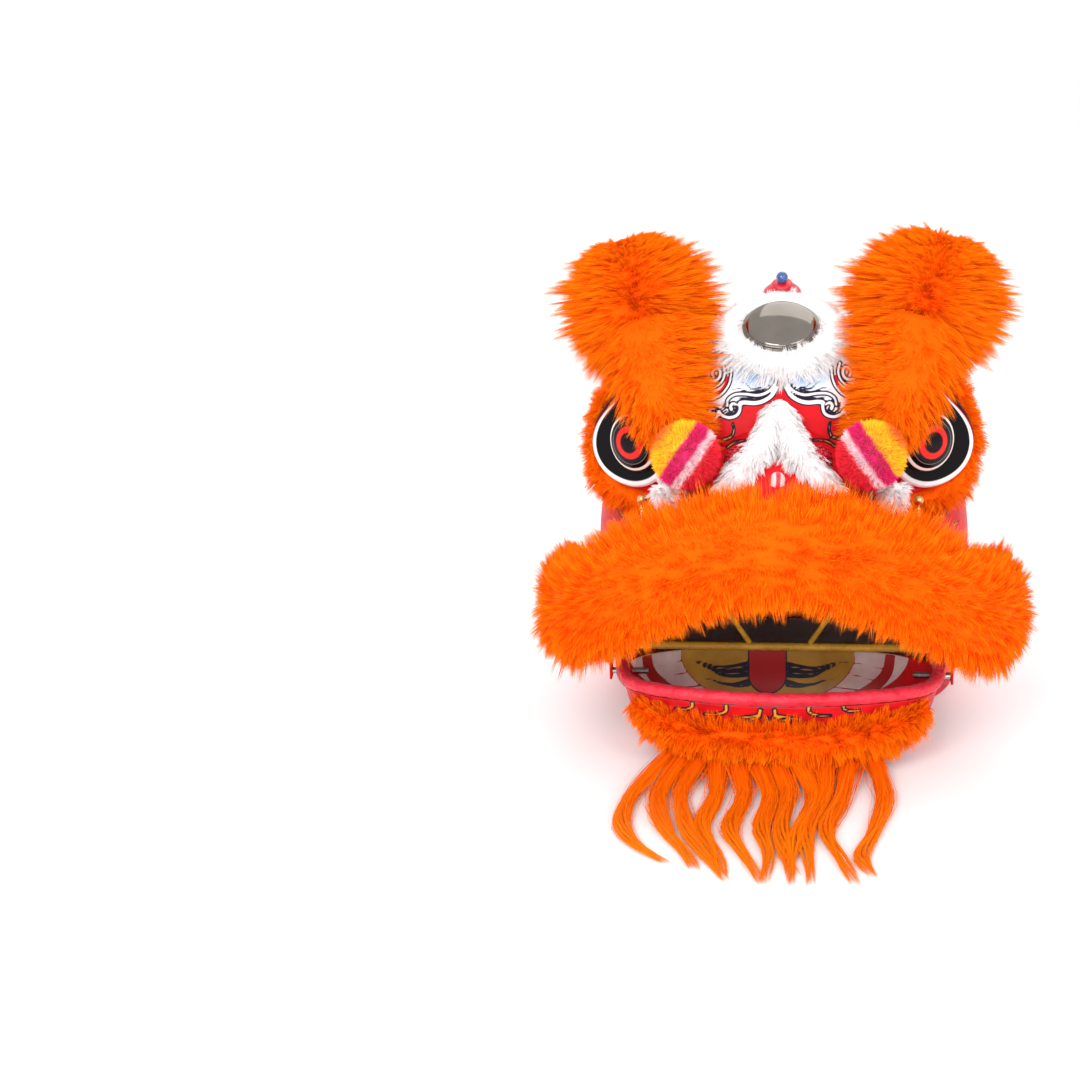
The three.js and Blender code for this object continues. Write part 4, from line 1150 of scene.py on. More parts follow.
class LIONHEAD_OT_mouth_fur(bpy.types.Operator):
    """Grow the thick fur that hangs over the mouth from corner to corner"""

    bl_idname = "lionhead.mouth_fur"
    bl_label = "Mouth fur"

    def execute(self, context):
        sizes, colours = context.scene.lion_sizes, context.scene.lion_colours
        width = sizes.strand_width / MM
        turn_limit = MUZZLE_TURN + math.radians(9)

        def path(t):
            angle = mix(-turn_limit, turn_limit, t)
            lift = 57 + 16 * np.maximum(0, np.cos(angle)) ** 2 - 50 * np.maximum(0, np.abs(angle) - 1.55) ** 2
            return muzzle_edge(angle) + muzzle_outward(angle) * 38 + np.outer(lift, [0, 0, 1])

        def size(t):
            end = np.abs(2 * t - 1)
            taper = np.where(end < 0.86, 1, np.sqrt(np.maximum(0.06, 1 - ((end - 0.86) / 0.15) ** 2)))
            return mix(80, 66, end) * taper, 43 * taper

        form = Strip(path, lambda t: muzzle_outward(mix(-turn_limit, turn_limit, t)), size)
        coat = Coat(11)
        coat.backing(form, 0.72, columns=90, rows=36)

        def flow(t, turn, start, normal):
            end = mix(-1, 1, t)
            upper = smoothstep(-np.cos(turn), 0.1, 0.9)
            drop = 1 - 9 * smoothstep(np.abs(end), 0.3, 0.8)
            return np.stack([8 * end, -3 + 6 * upper, mix(drop, 6, upper)], axis=1)

        coat.comb(form, 62000, 4200, 0.62, 0.9, flow, width, turns=(-0.75, 3.65), ragged=0.08, clump=0.42)
        piece = coat.make("mouth_fur_coat")
        finish_piece(piece, orange_fur(colours), "head", ["mouth_fur"])
        return {"FINISHED"}


class LIONHEAD_OT_eye_fur(bpy.types.Operator):
    """Grow the brows that hang over the eyes and the fur round the eyes"""

    bl_idname = "lionhead.eye_fur"
    bl_label = "Brows and eye fur"

    def execute(self, context):
        sizes, colours = context.scene.lion_sizes, context.scene.lion_colours
        width = sizes.strand_width / MM
        material = orange_fur(colours)
        for side, sign in SIDES:
            flip = np.array([sign, 1, 1])

            def brow_size(t):
                share = np.minimum(1, 0.8 + 1.6 * t)
                return mix(90, 26, np.clip(t, 0, 1) ** 0.75) * share, mix(34, 14, t * t) * share

            brow_face = np.array([0.3, -1, 0.5]) * flip
            brow = Strip(lambda t: spline(BROW_PATH, t) * flip, lambda t: brow_face, brow_size)
            coat = Coat(21 + sign)
            coat.backing(brow, 0.6, columns=40, rows=28)

            def brow_flow(t, turn, start, normal):
                inner = smoothstep(-normal[:, 0] * sign, -0.2, 0.8)
                return np.stack([-sign * mix(6, 22, inner), -5 + 0 * t, -16 + 10 * inner], axis=1)

            coat.comb(brow, 26000, 1500, 0.5, 0.92, brow_flow, width, ragged=0.1, clump=0.4)
            piece = coat.make(f"brow_coat_{side}")
            finish_piece(piece, material, "head", [f"brow_fur_{side}"])

            rim_rows = np.array([eye_point(*place) for place in EYE_RIM_PATH])
            face = eye_axes()[2]
            rim = Strip(lambda t: spline(rim_rows, t) * flip, lambda t: face * flip, rounded_ends(24, 32))
            coat = Coat(31 + sign)
            coat.backing(rim, 0.6, columns=48, rows=24)

            def rim_flow(t, turn, start, normal):
                away = unit(start - EYE_PLACE * flip)
                return away * 6 + np.array([0, 0, -5])

            coat.comb(rim, 20000, 1300, 0.5, 0.9, rim_flow, width, ragged=0.1, clump=0.4)
            piece = coat.make(f"eye_fur_coat_{side}")
            finish_piece(piece, material, "head", [f"eye_fur_{side}"])
        return {"FINISHED"}


class LIONHEAD_OT_ears(bpy.types.Operator):
    """Grow the two leaf-shaped ears on their wire staples"""

    bl_idname = "lionhead.ears"
    bl_label = "Ears"

    def execute(self, context):
        sizes, colours = context.scene.lion_sizes, context.scene.lion_colours
        width = sizes.strand_width / MM
        material = orange_fur(colours)
        leaf = np.array(EAR_LEAF, float)
        for side, sign in SIDES:
            flip = np.array([sign, 1, 1])
            along = unit(EAR_ALONG) * flip
            across = unit(np.array([0.97, 0, -0.24])) * flip
            face = np.cross(across, along) * sign

            def path(t):
                return EAR_FOOT * flip + np.outer(spline(leaf, t)[:, 0], along)

            def size(t):
                rows = spline(leaf, t)
                return np.maximum(rows[:, 1], 4), np.maximum(rows[:, 2], 4)

            form = Strip(path, lambda t: face, size)
            coat = Coat(41 + sign)
            coat.backing(form, 0.62, columns=40, rows=40)

            def flow(t, turn, start, normal):
                away = unit(start - (EAR_FOOT * flip + 62 * along))
                inner = smoothstep(-(away @ across), 0.1, 0.8) * (1 - smoothstep(t, 0.45, 0.8))
                low = 1 - smoothstep(t, 0.0, 0.5)
                top = smoothstep(t, 0.75, 0.98)
                lay = np.outer(low, [2 * sign, -24, -34]) + np.outer(inner, [-6 * sign, -4, -6])
                return away * (8 - 5 * top)[:, None] + lay

            look = {"span": (0.02, 0.965), "ragged": 0.1, "clump": 0.36}
            coat.comb(form, 56000, 2600, 0.52, 0.87, flow, width * 0.9, **look)
            piece = coat.make(f"ear_coat_{side}")
            finish_piece(piece, material, f"ear_{side}", [f"ear_{side}"])
        return {"FINISHED"}


class LIONHEAD_OT_white_fur(bpy.types.Operator):
    """Grow the white fur of the nose, the mirror's collar, the horn and the cheek tufts"""

    bl_idname = "lionhead.white_fur"
    bl_label = "White fur"

    def execute(self, context):
        sizes, colours = context.scene.lion_sizes, context.scene.lion_colours
        width = sizes.strand_width / MM * 0.9
        material = white_fur(colours)

        def nose_size(t):
            wide, deep = rounded_ends(1, 24, 0.75)(t)
            return wide * mix(21, 25, smoothstep(t, 0.3, 0.85)), deep

        coat = Coat(51)
        for _side, sign in SIDES:
            flip = np.array([sign, 1, 1])
            arm = Strip(lambda t: spline(NOSE_PATH, t) * flip, lambda t: np.array([0, -0.6, 1]), nose_size)
            coat.backing(arm, 0.74, columns=30, rows=20)

            def flow(t, turn, start, normal):
                return np.stack([sign * 4 * t, -6 + 0 * t, -13 + 0 * t], axis=1)

            coat.comb(arm, 18000, 1400, 0.72, 1.06, flow, width, ragged=0.1, clump=0.3, lift=0.06)
        finish_piece(coat.make("nose_fur_coat"), material, "head", ["nose_fur"])

        face = MIRROR_FACE
        back = np.array([0, math.cos(MIRROR_TILT), math.sin(MIRROR_TILT)])

        def ring(t):
            angle = 2 * np.pi * t
            length = 62 + 5 * np.maximum(0, -np.cos(angle))
            aside = np.outer(63 * np.sin(angle), [1, 0, 0])
            return MIRROR_FOOT + aside + np.outer(length * np.cos(angle), back) - 9 * face

        def collar_size(t):
            return 19 + 0 * t, 8 + 13 * smoothstep(-np.cos(2 * np.pi * t), -0.8, 0.3)

        collar = Strip(ring, lambda t: face, collar_size, closed=True)
        coat = Coat(53)
        coat.backing(collar, 0.72, columns=49, rows=16)

        def away(t, turn, start, normal):
            radial = unit((start - MIRROR_FOOT) @ (np.eye(3) - np.outer(face, face)))
            inner = smoothstep(-(normal * radial).sum(1), -0.1, 0.7)[:, None]
            front = smoothstep(-np.cos(2 * np.pi * t), -0.5, 0.3)[:, None]
            outer_lay = radial * mix(4, 14, front) - face * mix(9, 7, front)
            return mix(outer_lay, -radial * 1 - face * mix(6, 2, front), inner)

        coat.comb(collar, 30000, 2000, 0.5, 0.95, away, width, ragged=0.1, clump=0.35)
        finish_piece(coat.make("mirror_collar_coat"), material, "head", ["mirror_fur"])

        def horn_ring(t):
            angle = 2 * np.pi * t
            return np.stack([33 * np.sin(angle), 206 + 33 * np.cos(angle), 493 - 9 * np.cos(angle)], axis=1)

        def horn_lay(t, turn, start, normal):
            front = smoothstep(-np.cos(2 * np.pi * t), -0.2, 0.6)
            return np.stack([0 * t, 0 * t, -2 - 16 * front], axis=1)

        upright = np.array([0, 0, 1])
        horn_collar = Strip(horn_ring, lambda t: upright, lambda t: (10 + 0 * t, 13 + 0 * t), closed=True)
        coat = Coat(55)
        coat.backing(horn_collar, 0.6, columns=33, rows=12)
        coat.comb(horn_collar, 7000, 400, 0.5, 0.95, horn_lay, width, ragged=0.2, clump=0.5)
        finish_piece(coat.make("horn_collar_coat"), material, "head", ["horn_fur"])

        for side, sign in SIDES:
            tuft = Ball((130 * sign, -84, 344), 19)
            coat = Coat(57 + sign)
            coat.backing(tuft, 0.6, columns=14, rows=16)
            coat.comb(tuft, 3200, 160, 0.5, 0.95, down(5), width, ragged=0.15, clump=0.5)
            piece = coat.make(f"white_tuft_coat_{side}")
            finish_piece(piece, material, "head", [f"white_tuft_{side}"])
        return {"FINISHED"}


class LIONHEAD_OT_pompoms(bpy.types.Operator):
    """Trim the two striped wool pompoms"""

    bl_idname = "lionhead.pompoms"
    bl_label = "Pompoms"

    def execute(self, context):
        sizes, colours = context.scene.lion_sizes, context.scene.lion_colours
        width = sizes.strand_width / MM * 1.15
        radius = sizes.pompom_radius / MM
        material = wool_stripes(colours)
        for side, sign in SIDES:
            centre = np.array([104 * sign, -98, 392.0])
            across = unit(np.array([-0.82 * sign, -0.1, -0.56]))

            def band(points):
                return np.clip((points - centre) @ across / (2 * radius) + 0.5, 0, 1)

            ball = Ball(centre, radius)
            coat = Coat(61 + sign)
            coat.backing(ball, 0.8, columns=24, rows=28, band=band)
            look = {"ragged": 0.02, "clump": 0.35, "lean": 0.8, "lift": 0.0, "band": band}
            coat.comb(ball, 16000, 4000, 0.7, 0.985, down(0), width, **look)
            piece = coat.make(f"pompom_wool_{side}")
            finish_piece(piece, material, "head", [f"pompom_{side}"])
        return {"FINISHED"}


class LIONHEAD_OT_eyes(bpy.types.Operator):
    """Shape the teardrop eyes and their glossy caps"""

    bl_idname = "lionhead.eyes"
    bl_label = "Eyes"

    def execute(self, context):
        sizes, colours = context.scene.lion_sizes, context.scene.lion_colours
        radius = sizes.eye_radius / MM
        drop = drop_outline()

        def drop_at(u):
            place = u * len(drop)
            i = np.floor(place).astype(int)
            f = (place - i)[:, None]
            return mix(drop[i % len(drop)], drop[(i + 1) % len(drop)], f)

        def socket_wrap(u, v):
            rim = drop_at(u)
            share = np.interp(v, [0, 0.72, 0.8, 0.86, 1], [0, 0.93, 0.99, 1.035, 1.08])
            out = np.interp(v, [0, 0.72, 0.8, 0.86, 1], [0, 0, -4, -14, -66])
            return eye_point(rim[:, 0] * share, rim[:, 1] * share, out)

        socket = wrapped_grid("eye_drop_right", 192, 64, socket_wrap, merge=0.05)
        points = get_points(socket.data) - EYE_PLACE
        across, up, _face = eye_axes()
        flat = np.stack([points @ across, points @ up], axis=1)
        set_attribute(socket.data, "rim", line_distance(flat, np.concatenate([drop, drop[:1]]), 0.0))
        set_attribute(socket.data, "height", flat[:, 1])
        paint = self.socket_paint(colours)

        middle = EYE_CAP["across"]

        def cap_wrap(u, v):
            reach = radius * np.interp(v, [0, 0.93, 1], [0, 1, 1])
            rise = 3 + 14 * np.sqrt(np.maximum(0, 1 - (reach / radius) ** 2)) ** 1.35
            out = np.where(v > 0.96, 0.4, 0.4 + rise)
            angle = 2 * np.pi * u
            return eye_point(reach * np.cos(angle) + middle, EYE_CAP["up"] + reach * np.sin(angle), out)

        cap = wrapped_grid("eye_cap_right", 96, 60, cap_wrap, merge=0.05)
        points = get_points(cap.data) - EYE_PLACE
        set_attribute(cap.data, "ring", np.hypot(points @ across - middle, points @ up - EYE_CAP["up"]))
        gloss = self.cap_paint(colours)
        for side, sign in SIDES:
            for piece, material, node, slot in (
                (socket, paint, "eye_socket", "eye_paint"),
                (cap, gloss, "eye_ball", "eye_gloss"),
            ):
                own = piece if sign > 0 else mirror_copy(piece, piece.name.replace("right", side))
                finish_piece(own, material, "head", [f"{node}_{side}"])
        return {"FINISHED"}

    def socket_paint(self, colours):
        """Black lacquer inside a white border, edged with a thin red line."""
        finish = Finish("eye_lacquer")
        rim = finish.attribute("rim")
        height = finish.attribute("height")
        margin = finish.spread(height, (-42, 40), (1.2, 8.0))
        width = finish.spread(height, (-44, 50), (8.0, 1.9))
        white = finish.ramp(finish.noise(50.0), [(0.3, (0.72, 0.7, 0.7)), (0.7, (0.9, 0.89, 0.88))])
        inside = finish.math("SUBTRACT", rim, margin)
        black = (0.006, 0.005, 0.006)
        tone = finish.blend(finish.below(finish.math("SUBTRACT", inside, width), 0.0, 0.6), black, white)
        tone = finish.blend(finish.below(inside, 0.6), tone, (0.6, 0.01, 0.014))
        tone = finish.blend(finish.below(inside, -0.9), tone, black)
        finish.set(Base_Color=tone, Roughness=0.35, Specular_IOR_Level=0.05)
        finish.set(Coat_Weight=0.04, Coat_Roughness=0.08)
        finish.bump(finish.noise(160.0), 0.06, 0.001)
        return finish.material

    def cap_paint(self, colours):
        """A black pupil in a red iris, set in black gloss with a fine white ring."""
        finish = Finish("eye_gloss")
        ring = finish.math("DIVIDE", finish.attribute("ring"), EYE_CAP["radius"])
        black = (0.004, 0.003, 0.004)
        red = (0.8, 0.022, 0.014)
        cream = (0.85, 0.76, 0.68)
        stops = [
            (0.0, black), (0.315, black), (0.335, (0.45, 0.006, 0.004)), (0.37, red), (0.5, red),
            (0.535, (0.3, 0.005, 0.004)), (0.55, black), (0.68, black), (0.7, (0.2, 0.19, 0.19)),
            (0.715, black), (0.83, black), (0.845, cream), (0.91, cream), (0.93, black),
        ]
        finish.set(Base_Color=finish.ramp(ring, stops), Roughness=0.1, Specular_IOR_Level=0.1)
        finish.set(Coat_Weight=0.1, Coat_Roughness=0.02)
        finish.bump(finish.noise(60.0), 0.02, 0.001)
        return finish.material


class LIONHEAD_OT_mirror_horn(bpy.types.Operator):
    """Turn the forehead mirror, the horn and its blue bead"""

    bl_idname = "lionhead.mirror_horn"
    bl_label = "Mirror and horn"

    def execute(self, context):
        radius = context.scene.lion_sizes.mirror_radius / MM
        angles = np.linspace(0, math.pi / 2, 14)
        dome = [((radius - 1.5) * math.cos(a), 4.2 + 8.2 * math.sin(a)) for a in angles]
        frame_edge = [(0.02, 0.4), (radius - 1, 0.4), (radius, 1.2), (radius, 3), (radius - 0.6, 4)]
        profile = [*frame_edge, *dome[:-1], (0.02, 12.4)]
        mirror = turned_piece("forehead_mirror", profile, MIRROR_FOOT, MIRROR_FACE, 96, 90)
        finish = Finish("mirror_chrome")
        # The chrome is darkened to a grey-brown: painted reflection of dark surroundings.
        stops = [(0.3, (0.19, 0.168, 0.145)), (0.7, (0.25, 0.222, 0.198))]
        tone = finish.ramp(finish.noise(16.0, 3.0), stops)
        rough = finish.ramp(finish.noise(120.0), [(0.3, (0.05,) * 3), (0.75, (0.11,) * 3)])
        finish.set(Base_Color=tone, Metallic=1.0, Roughness=rough)
        finish_piece(mirror, finish.material, "head", ["mirror"])

        axis = np.array([0, -math.sin(HORN_LEAN), math.cos(HORN_LEAN)])
        horn = turned_piece("horn_cone", HORN_PROFILE, HORN_FOOT, axis, 48, 60)
        rise = (get_points(horn.data) - HORN_FOOT) @ axis
        set_attribute(horn.data, "rise", rise)
        finish = Finish("horn_cloth")
        red = finish.ramp(finish.noise(90.0), [(0.3, (0.45, 0.006, 0.015)), (0.7, (0.75, 0.015, 0.035))])
        from_band = finish.math("SUBTRACT", finish.attribute("rise"), 27.0)
        band = finish.below(finish.math("ABSOLUTE", from_band), 3.2)
        tone = finish.blend(band, red, (0.8, 0.32, 0.33))
        finish.set(Base_Color=tone, Roughness=0.4, Coat_Weight=0.3, Coat_Roughness=0.2)
        finish.bump(finish.noise(260.0), 0.2, 0.001)
        finish_piece(horn, finish.material, "head", ["horn"])

        ball_radius = 7.5
        centre = HORN_FOOT + axis * (44 + 0.4 + ball_radius * 0.8)
        arc = np.linspace(-0.86, math.pi / 2, 14)
        round_rows = [(ball_radius * math.cos(a), ball_radius * math.sin(a)) for a in arc[:-1]]
        ball = [(0.02, -ball_radius * 0.76), *round_rows, (0.02, ball_radius)]
        bead = turned_piece("horn_bead", ball, centre, axis, 32, 40)
        dark, light = (0.01, 0.05, 0.2), (0.05, 0.16, 0.42)
        blue = plain_finish("blue_bead", dark, light, 120.0, 0.1, coat=1.0, bump=0.05)
        finish_piece(bead, blue, "head", ["horn_ball"])
        return {"FINISHED"}


class LIONHEAD_OT_nose(bpy.types.Operator):
    """Make the painted knob of the nose, the sequinned nostrils and the cheek beads"""

    bl_idname = "lionhead.nose"
    bl_label = "Nose and beads"

    def execute(self, context):
        knob = turned_piece("nose_knob", KNOB_PROFILE, np.array([0, -120, 349.0]), (0, 0, 1), 40, 40)
        finish = Finish("nose_paint")
        waves = finish.node("ShaderNodeTexWave", {"Scale": 26.0, "Distortion": 6.0, "Vector": finish.place()})
        tone = finish.ramp(waves.outputs["Fac"], [(0.35, (0.7, 0.01, 0.03)), (0.6, (0.85, 0.6, 0.6))])
        finish.set(Base_Color=tone, Roughness=0.35, Coat_Weight=0.4, Coat_Roughness=0.1)
        finish_piece(knob, finish.material, "head", ["nose_tip"])

        dark, light = (0.35, 0.004, 0.015), (0.7, 0.012, 0.04)
        sequin = plain_finish("red_sequin", dark, light, 300.0, 0.25, 0.35, 0.3, 0.3)
        dark, light = (0.5, 0.3, 0.08), (0.75, 0.5, 0.2)
        bead_gold = plain_finish("gold_bead", dark, light, 200.0, 0.28, 0.9, 0.2, 0.1)
        for side, sign in SIDES:
            nostril = self.sequinned(f"nostril_{side}", np.array([45 * sign, -73, 378.0]), 16.2)
            finish_piece(nostril, sequin, "head", [f"nostril_{side}"])
            bead = self.bead(f"cheek_bead_{side}", np.array([160 * sign, -48, 322.0]))
            finish_piece(bead, bead_gold, "head", [f"cheek_bead_{side}"])
        return {"FINISHED"}

    def sequinned(self, name, centre, radius):
        """A padded ball with overlapping round spangles."""
        arc = np.linspace(-math.pi / 2, math.pi / 2, 16)
        profile = [(max(0.02, radius * math.cos(a)), radius * math.sin(a)) for a in arc]
        ball = turned_piece(name, profile, centre, (0, -0.3, 1), 28, 24)
        disc = [(0.02, 0.1), (2.6, 0.1), (2.7, 0.5), (0.8, 0.95), (0.02, 0.75)]
        spangles = []
        count, golden_turn = 90, 2.399963
        for k in range(count):
            z = 1 - (2 * k + 1) / count
            turn = k * golden_turn
            flat = math.sqrt(1 - z * z)
            normal = np.array([flat * math.cos(turn), flat * math.sin(turn), z])
            spangles.append(turned_piece("spangle", disc, centre + normal * radius, normal + 0.25, 8, 4))
        return join_pieces(ball, *spangles)

    def bead(self, name, centre):
        """A bead on a short wire, with coils of the wire below it."""
        radius = 6.0
        profile = [(0.02, -72), (1.6, -72), (1.6, -20)]
        for coil in (-19, -15, -11):
            profile += [(2.6, coil), (1.7, coil + 2)]
        arc = np.linspace(-1.1, math.pi / 2, 12)
        profile += [(1.7, -6.2), *((max(0.02, radius * math.cos(a)), radius * math.sin(a)) for a in arc)]
        return turned_piece(name, profile, centre, (0, 0, 1), 24, 110)


class LIONHEAD_OT_jaw(bpy.types.Operator):
    """Wrap the painted jaw bowl and its satin lip"""

    bl_idname = "lionhead.jaw"
    bl_label = "Jaw and lip"

    def execute(self, context):
        sizes, colours = context.scene.lion_sizes, context.scene.lion_colours

        def wrap(u, v):
            angle = 2 * np.pi * u + math.pi / 2
            climb = np.interp(v, [0, 0.06, 0.5, 0.505, 0.94, 1], [0, 0, 1, 1, 0, 0])
            spread = np.interp(v, [0, 0.06, 0.94, 1], [0.0001, 1, 1, 0.0001])
            inner = np.where(v > 0.502, 1.0, 0.0)
            rows = spline(JAW_LEVELS, climb)
            x, y = oval(rows[:, 1], rows[:, 2], rows[:, 3], angle, JAW_SQUARENESS, -WALL * inner)
            z = rows[:, 0] * jaw_rim(y) + inner * WALL * (1 - climb)
            return np.stack([x * spread, JAW_MIDDLE + (y - JAW_MIDDLE) * spread, z], axis=1)

        bowl = wrapped_grid("jaw_bowl", 420, 90, wrap)
        normals = np.empty(len(bowl.data.vertices) * 3)
        bowl.data.vertices.foreach_get("normal", normals)
        points = get_points(bowl.data)
        inner = (normals.reshape(-1, 3) * (points - np.array([0, -23, 140]))).sum(axis=1) < 0
        areas = [
            ("panel", MOUTH_PANEL, [(702, 0), (236, 0)]),
            ("teeth", [(-60, 120), (-40, 220), (60, 320), (300, 420), (702, 480)], [(702, 0), (-60, 0)]),
        ]
        draw_on(bowl.data, MOUTH_DRAWING, MOUTH_LINES, JAW_LAYERS, lambda p: inner & (p[:, 1] > -60), areas)
        draw_on(bowl.data, CHIN_DRAWING, CHIN_LINES, ("ink", "gold"), lambda p: ~inner & (p[:, 1] < -30))
        finish_piece(bowl, jaw_paint(colours), "jaw", ["jaw_shell"])

        radius = sizes.lip_radius / MM
        wide, deep, middle = LIP["half_width"], LIP["half_depth"], LIP["middle"]
        end = math.asin(rounded(np.array((LIP["ends"] - middle) / deep), 4 / JAW_SQUARENESS))

        def lip(u, v):
            angle = mix(-math.pi - end, end, u)
            x, y = oval(wide, middle - deep, middle + deep, angle, JAW_SQUARENESS)
            turn = 2 * np.pi * v
            centre = np.stack([x, y, jaw_rim(y) + radius + 1.5], axis=1)
            out = unit(np.stack([x / wide**2, (y - middle) / deep**2, 0 * x], axis=1))
            cap = np.sqrt(np.clip(np.minimum(u, 1 - u) / 0.008, 0, 1))
            folds = np.sin(u * 230 + 1.3 * np.sin(u * 57) + 1.6 * turn) * 0.25
            folds = folds + np.sin(u * 91 + 2 * turn) * 0.22
            reach = (radius + folds) * cap
            lift = np.array([0, 0, 1.0])
            return centre + out * (np.cos(turn) * reach)[:, None] + lift * (np.sin(turn) * reach)[:, None]

        tube = wrapped_grid("lip_satin", 360, 24, lip)
        finish_piece(tube, red_cloth(colours), "jaw", ["lip_rim"])
        return {"FINISHED"}


class LIONHEAD_OT_chin(bpy.types.Operator):
    """Grow the chin fur and the long beard that lies on the floor"""

    bl_idname = "lionhead.chin"
    bl_label = "Chin fur and beard"

    def execute(self, context):
        sizes, colours = context.scene.lion_sizes, context.scene.lion_colours
        width = sizes.strand_width / MM
        material = orange_fur(colours)

        def facing(t):
            angle = mix(-1, 1, t) * math.radians(CHIN["turn"])
            return np.stack([np.sin(angle), -np.cos(angle), 0 * angle], axis=1)

        strip = (CHIN["out"], CHIN["z"], CHIN["turn"])
        form = Strip(lambda t: chin_path(t, *strip), facing, rounded_ends(31, 27))
        coat = Coat(71)
        coat.backing(form, 0.6, columns=60, rows=24)

        def flow(t, turn, start, normal):
            side = mix(-1, 1, t)
            upper = smoothstep(-np.cos(turn), 0.1, 0.9)
            return np.stack([4 * side, -2 + 0 * t, mix(-10, 5, upper)], axis=1)

        def above_floor(points):
            return points[:, :, 2].min(axis=1) > 0.6

        coat.comb(form, 42000, 2600, 0.52, 0.95, flow, width, ragged=0.1, clump=0.4, keep=above_floor)
        points = coat.points[0]
        points[:, 2] = np.maximum(points[:, 2], 0.6)
        piece = coat.make("chin_fur_coat")
        finish_piece(piece, material, "jaw", ["chin_fur"])

        rng = np.random.default_rng(73)
        coat = Coat(75)
        steps = 9
        share = np.linspace(0, 1, steps)
        for root, bow, waist, bend, tip, reach in BEARD_LOCKS:
            root_y = chin_path(np.array([0.5 + root / 420]), 30, 0, 74)[0, 1]
            rows = [(root, root_y, 17), (bow, -185, 7), (waist, -255, 6), (bend, -312, 5), (tip, reach, 2.5)]
            count = max(8, int(780 * sizes.fur_density))
            wisp = rng.integers(0, 5, count)
            turn = rng.uniform(0, 2 * np.pi, count)
            ring = np.sqrt(rng.uniform(0, 1, count))
            length = rng.uniform(0.7, 1.02, count)
            phase = rng.normal(size=count) * 0.25 + (1.3 * wisp + rng.uniform(0, 6))
            place = (wisp - 2) / 2
            loose = np.where(rng.random(count) < 0.06, 2.2, 1.0) * rng.uniform(0.7, 1.2, count)
            strand = np.empty((count, steps, 3))
            for k, s in enumerate(share):
                t = np.clip(s * length, 0, 1)
                centre = spline(rows, t)
                wide = mix(8.5, 1.6, smoothstep(t, 0, 0.6)) * loose
                apart = place * mix(2, 6.5, smoothstep(t, 0.05, 0.5)) * mix(1, 0.6, smoothstep(t, 0.7, 1))
                deep = mix(5.5, 1.2, t)
                sway = np.sin(phase + 11 * t) * 2.6 * loose * np.minimum(1, 2 * t)
                strand[:, k, 0] = centre[:, 0] + ring * np.cos(turn) * wide + apart + sway
                strand[:, k, 1] = centre[:, 1] + rng.normal(size=count) * 0.5
                strand[:, k, 2] = np.maximum(0.5, centre[:, 2] + ring * np.sin(turn) * deep)
            normal = unit(np.stack([0.4 * np.cos(turn), -0.3 + 0 * turn, 0.8 + 0 * turn], axis=1))
            coat.strands(strand, normal, 0.95 * rng.uniform(0.5, 1.2, count))
        # The dark root stop paints the shade among the beard's strands.
        hair_stops = [(0.0, colours.orange_root), (0.1, colours.orange_middle), (1.0, colours.orange_tip)]
        hair = fur_finish("orange_hair", hair_stops, 0.0, 0.15, 0.5, vary=0.13)
        piece = coat.make("beard_hair")
        piece.data.materials.append(hair)
        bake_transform(piece)
        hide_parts("beard")
        return {"FINISHED"}


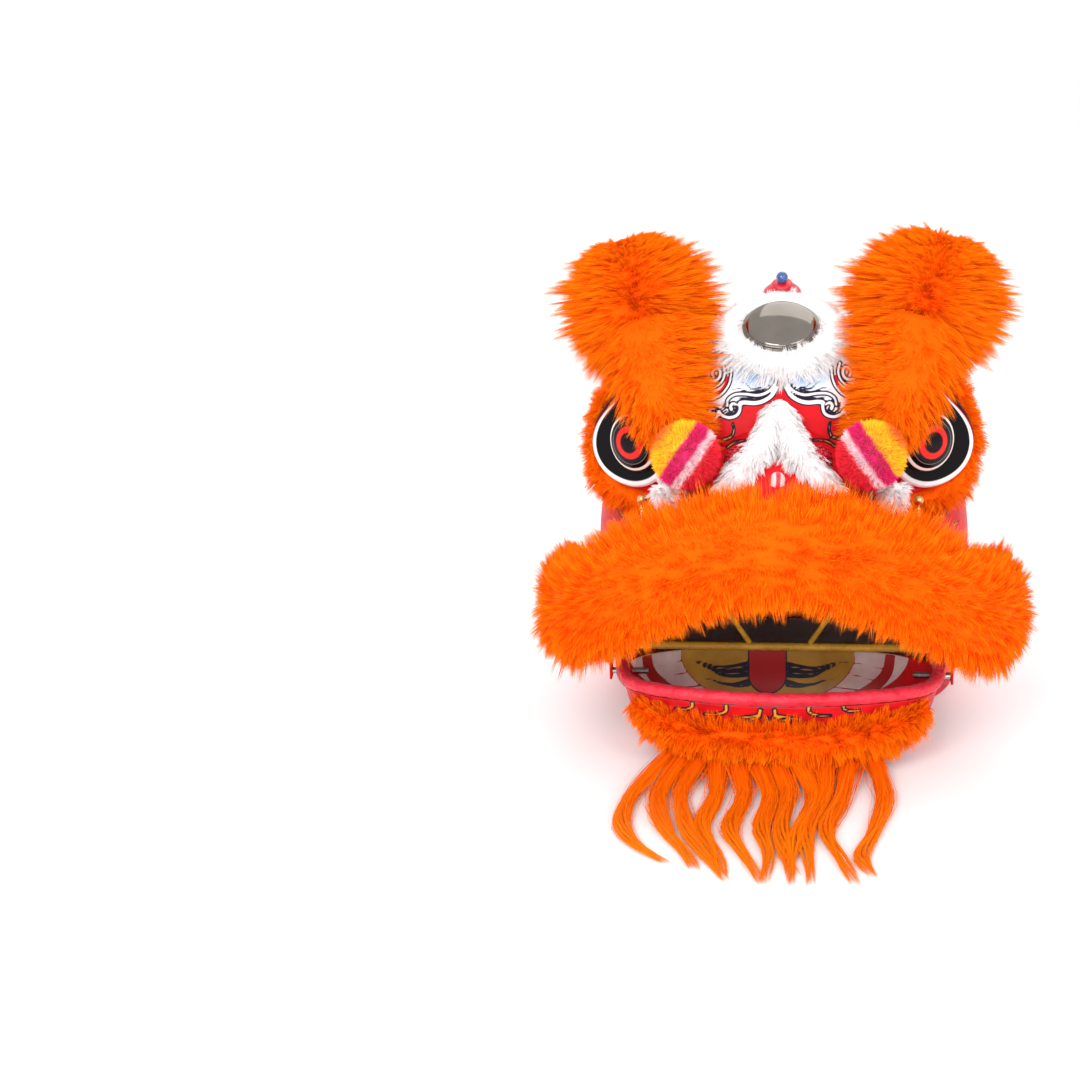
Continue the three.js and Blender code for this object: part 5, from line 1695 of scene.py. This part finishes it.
class LIONHEAD_OT_sticks(bpy.types.Operator):
    """Wrap the mouth sticks in tape and finish the wires"""

    bl_idname = "lionhead.sticks"
    bl_label = "Mouth sticks and wires"

    def execute(self, context):
        tape = plain_finish("yellow_tape", (0.5, 0.24, 0.01), (0.72, 0.4, 0.03), 60.0, 0.5, bump=0.3)
        bar = self.stick("mouth_bar_tape", (-206.4, 26, 104), (206.4, 26, 104), 4.7, 26)
        finish_piece(bar, tape, "head", ["mouth_bar"])
        for side, sign in SIDES:
            foot, head = (37.5 * sign, 25, 110), (146 * sign, -6.6, 293)
            strut = self.stick(f"mouth_strut_tape_{side}", foot, head, 3.2, 16)
            finish_piece(strut, tape, "head", [f"mouth_strut_{side}"])
        wire = plain_finish("bright_wire", (0.3, 0.3, 0.3), (0.55, 0.55, 0.55), 150.0, 0.35, 1.0, bump=0.05)
        for node in ("pompom_stem", "ear_staple", "jaw_pin"):
            for side, _sign in SIDES:
                piece = bpy.data.objects[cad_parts[f"{node}_{side}"].name]
                piece.data.materials.clear()
                piece.data.materials.append(wire)
        return {"FINISHED"}

    def stick(self, name, start, end, radius, wraps):
        """A cane with tape wound round it, each turn lapping the one before."""
        start, end = np.array(start, float), np.array(end, float)
        length = np.linalg.norm(end - start)
        profile = [(0.02, 0), (radius * 0.8, 0.02)]
        for k in range(wraps):
            low = length * (k + 0.05) / wraps
            high = length * (k + 0.95) / wraps
            profile += [(radius, low), (radius * 1.07, high)]
        profile += [(radius * 0.8, length - 0.02), (0.02, length)]
        return turned_piece(name, profile, start, end - start, 20, 12 * wraps)


OPERATORS = (
    LIONHEAD_OT_stage,
    LIONHEAD_OT_dome,
    LIONHEAD_OT_muzzle,
    LIONHEAD_OT_mouth_fur,
    LIONHEAD_OT_eye_fur,
    LIONHEAD_OT_ears,
    LIONHEAD_OT_white_fur,
    LIONHEAD_OT_pompoms,
    LIONHEAD_OT_eyes,
    LIONHEAD_OT_mirror_horn,
    LIONHEAD_OT_nose,
    LIONHEAD_OT_jaw,
    LIONHEAD_OT_chin,
    LIONHEAD_OT_sticks,
)


class LIONHEAD_PT_panel(bpy.types.Panel):
    """Sizes, colours and steps of the dressed head"""

    bl_idname = "LIONHEAD_PT_panel"
    bl_label = "Lion head"
    bl_space_type = "VIEW_3D"
    bl_region_type = "UI"
    bl_category = "Lion head"

    def draw(self, context):
        layout = self.layout
        for group in (context.scene.lion_sizes, context.scene.lion_colours):
            for name in group.bl_rna.properties.keys():
                if name not in ("rna_type", "name"):
                    layout.prop(group, name)
        for operator in OPERATORS:
            layout.operator(operator.bl_idname)


CLASSES = (LionHeadSizes, LionHeadColours, *OPERATORS, LIONHEAD_PT_panel)


def register():
    for item in CLASSES:
        bpy.utils.register_class(item)
    bpy.types.Scene.lion_sizes = PointerProperty(type=LionHeadSizes)
    bpy.types.Scene.lion_colours = PointerProperty(type=LionHeadColours)


def unregister():
    del bpy.types.Scene.lion_colours
    del bpy.types.Scene.lion_sizes
    for item in reversed(CLASSES):
        bpy.utils.unregister_class(item)


def main():
    register()
    for operator in OPERATORS:
        category, name = operator.bl_idname.split(".")
        getattr(getattr(bpy.ops, category), name)()


if __name__ == "__main__":
    main()
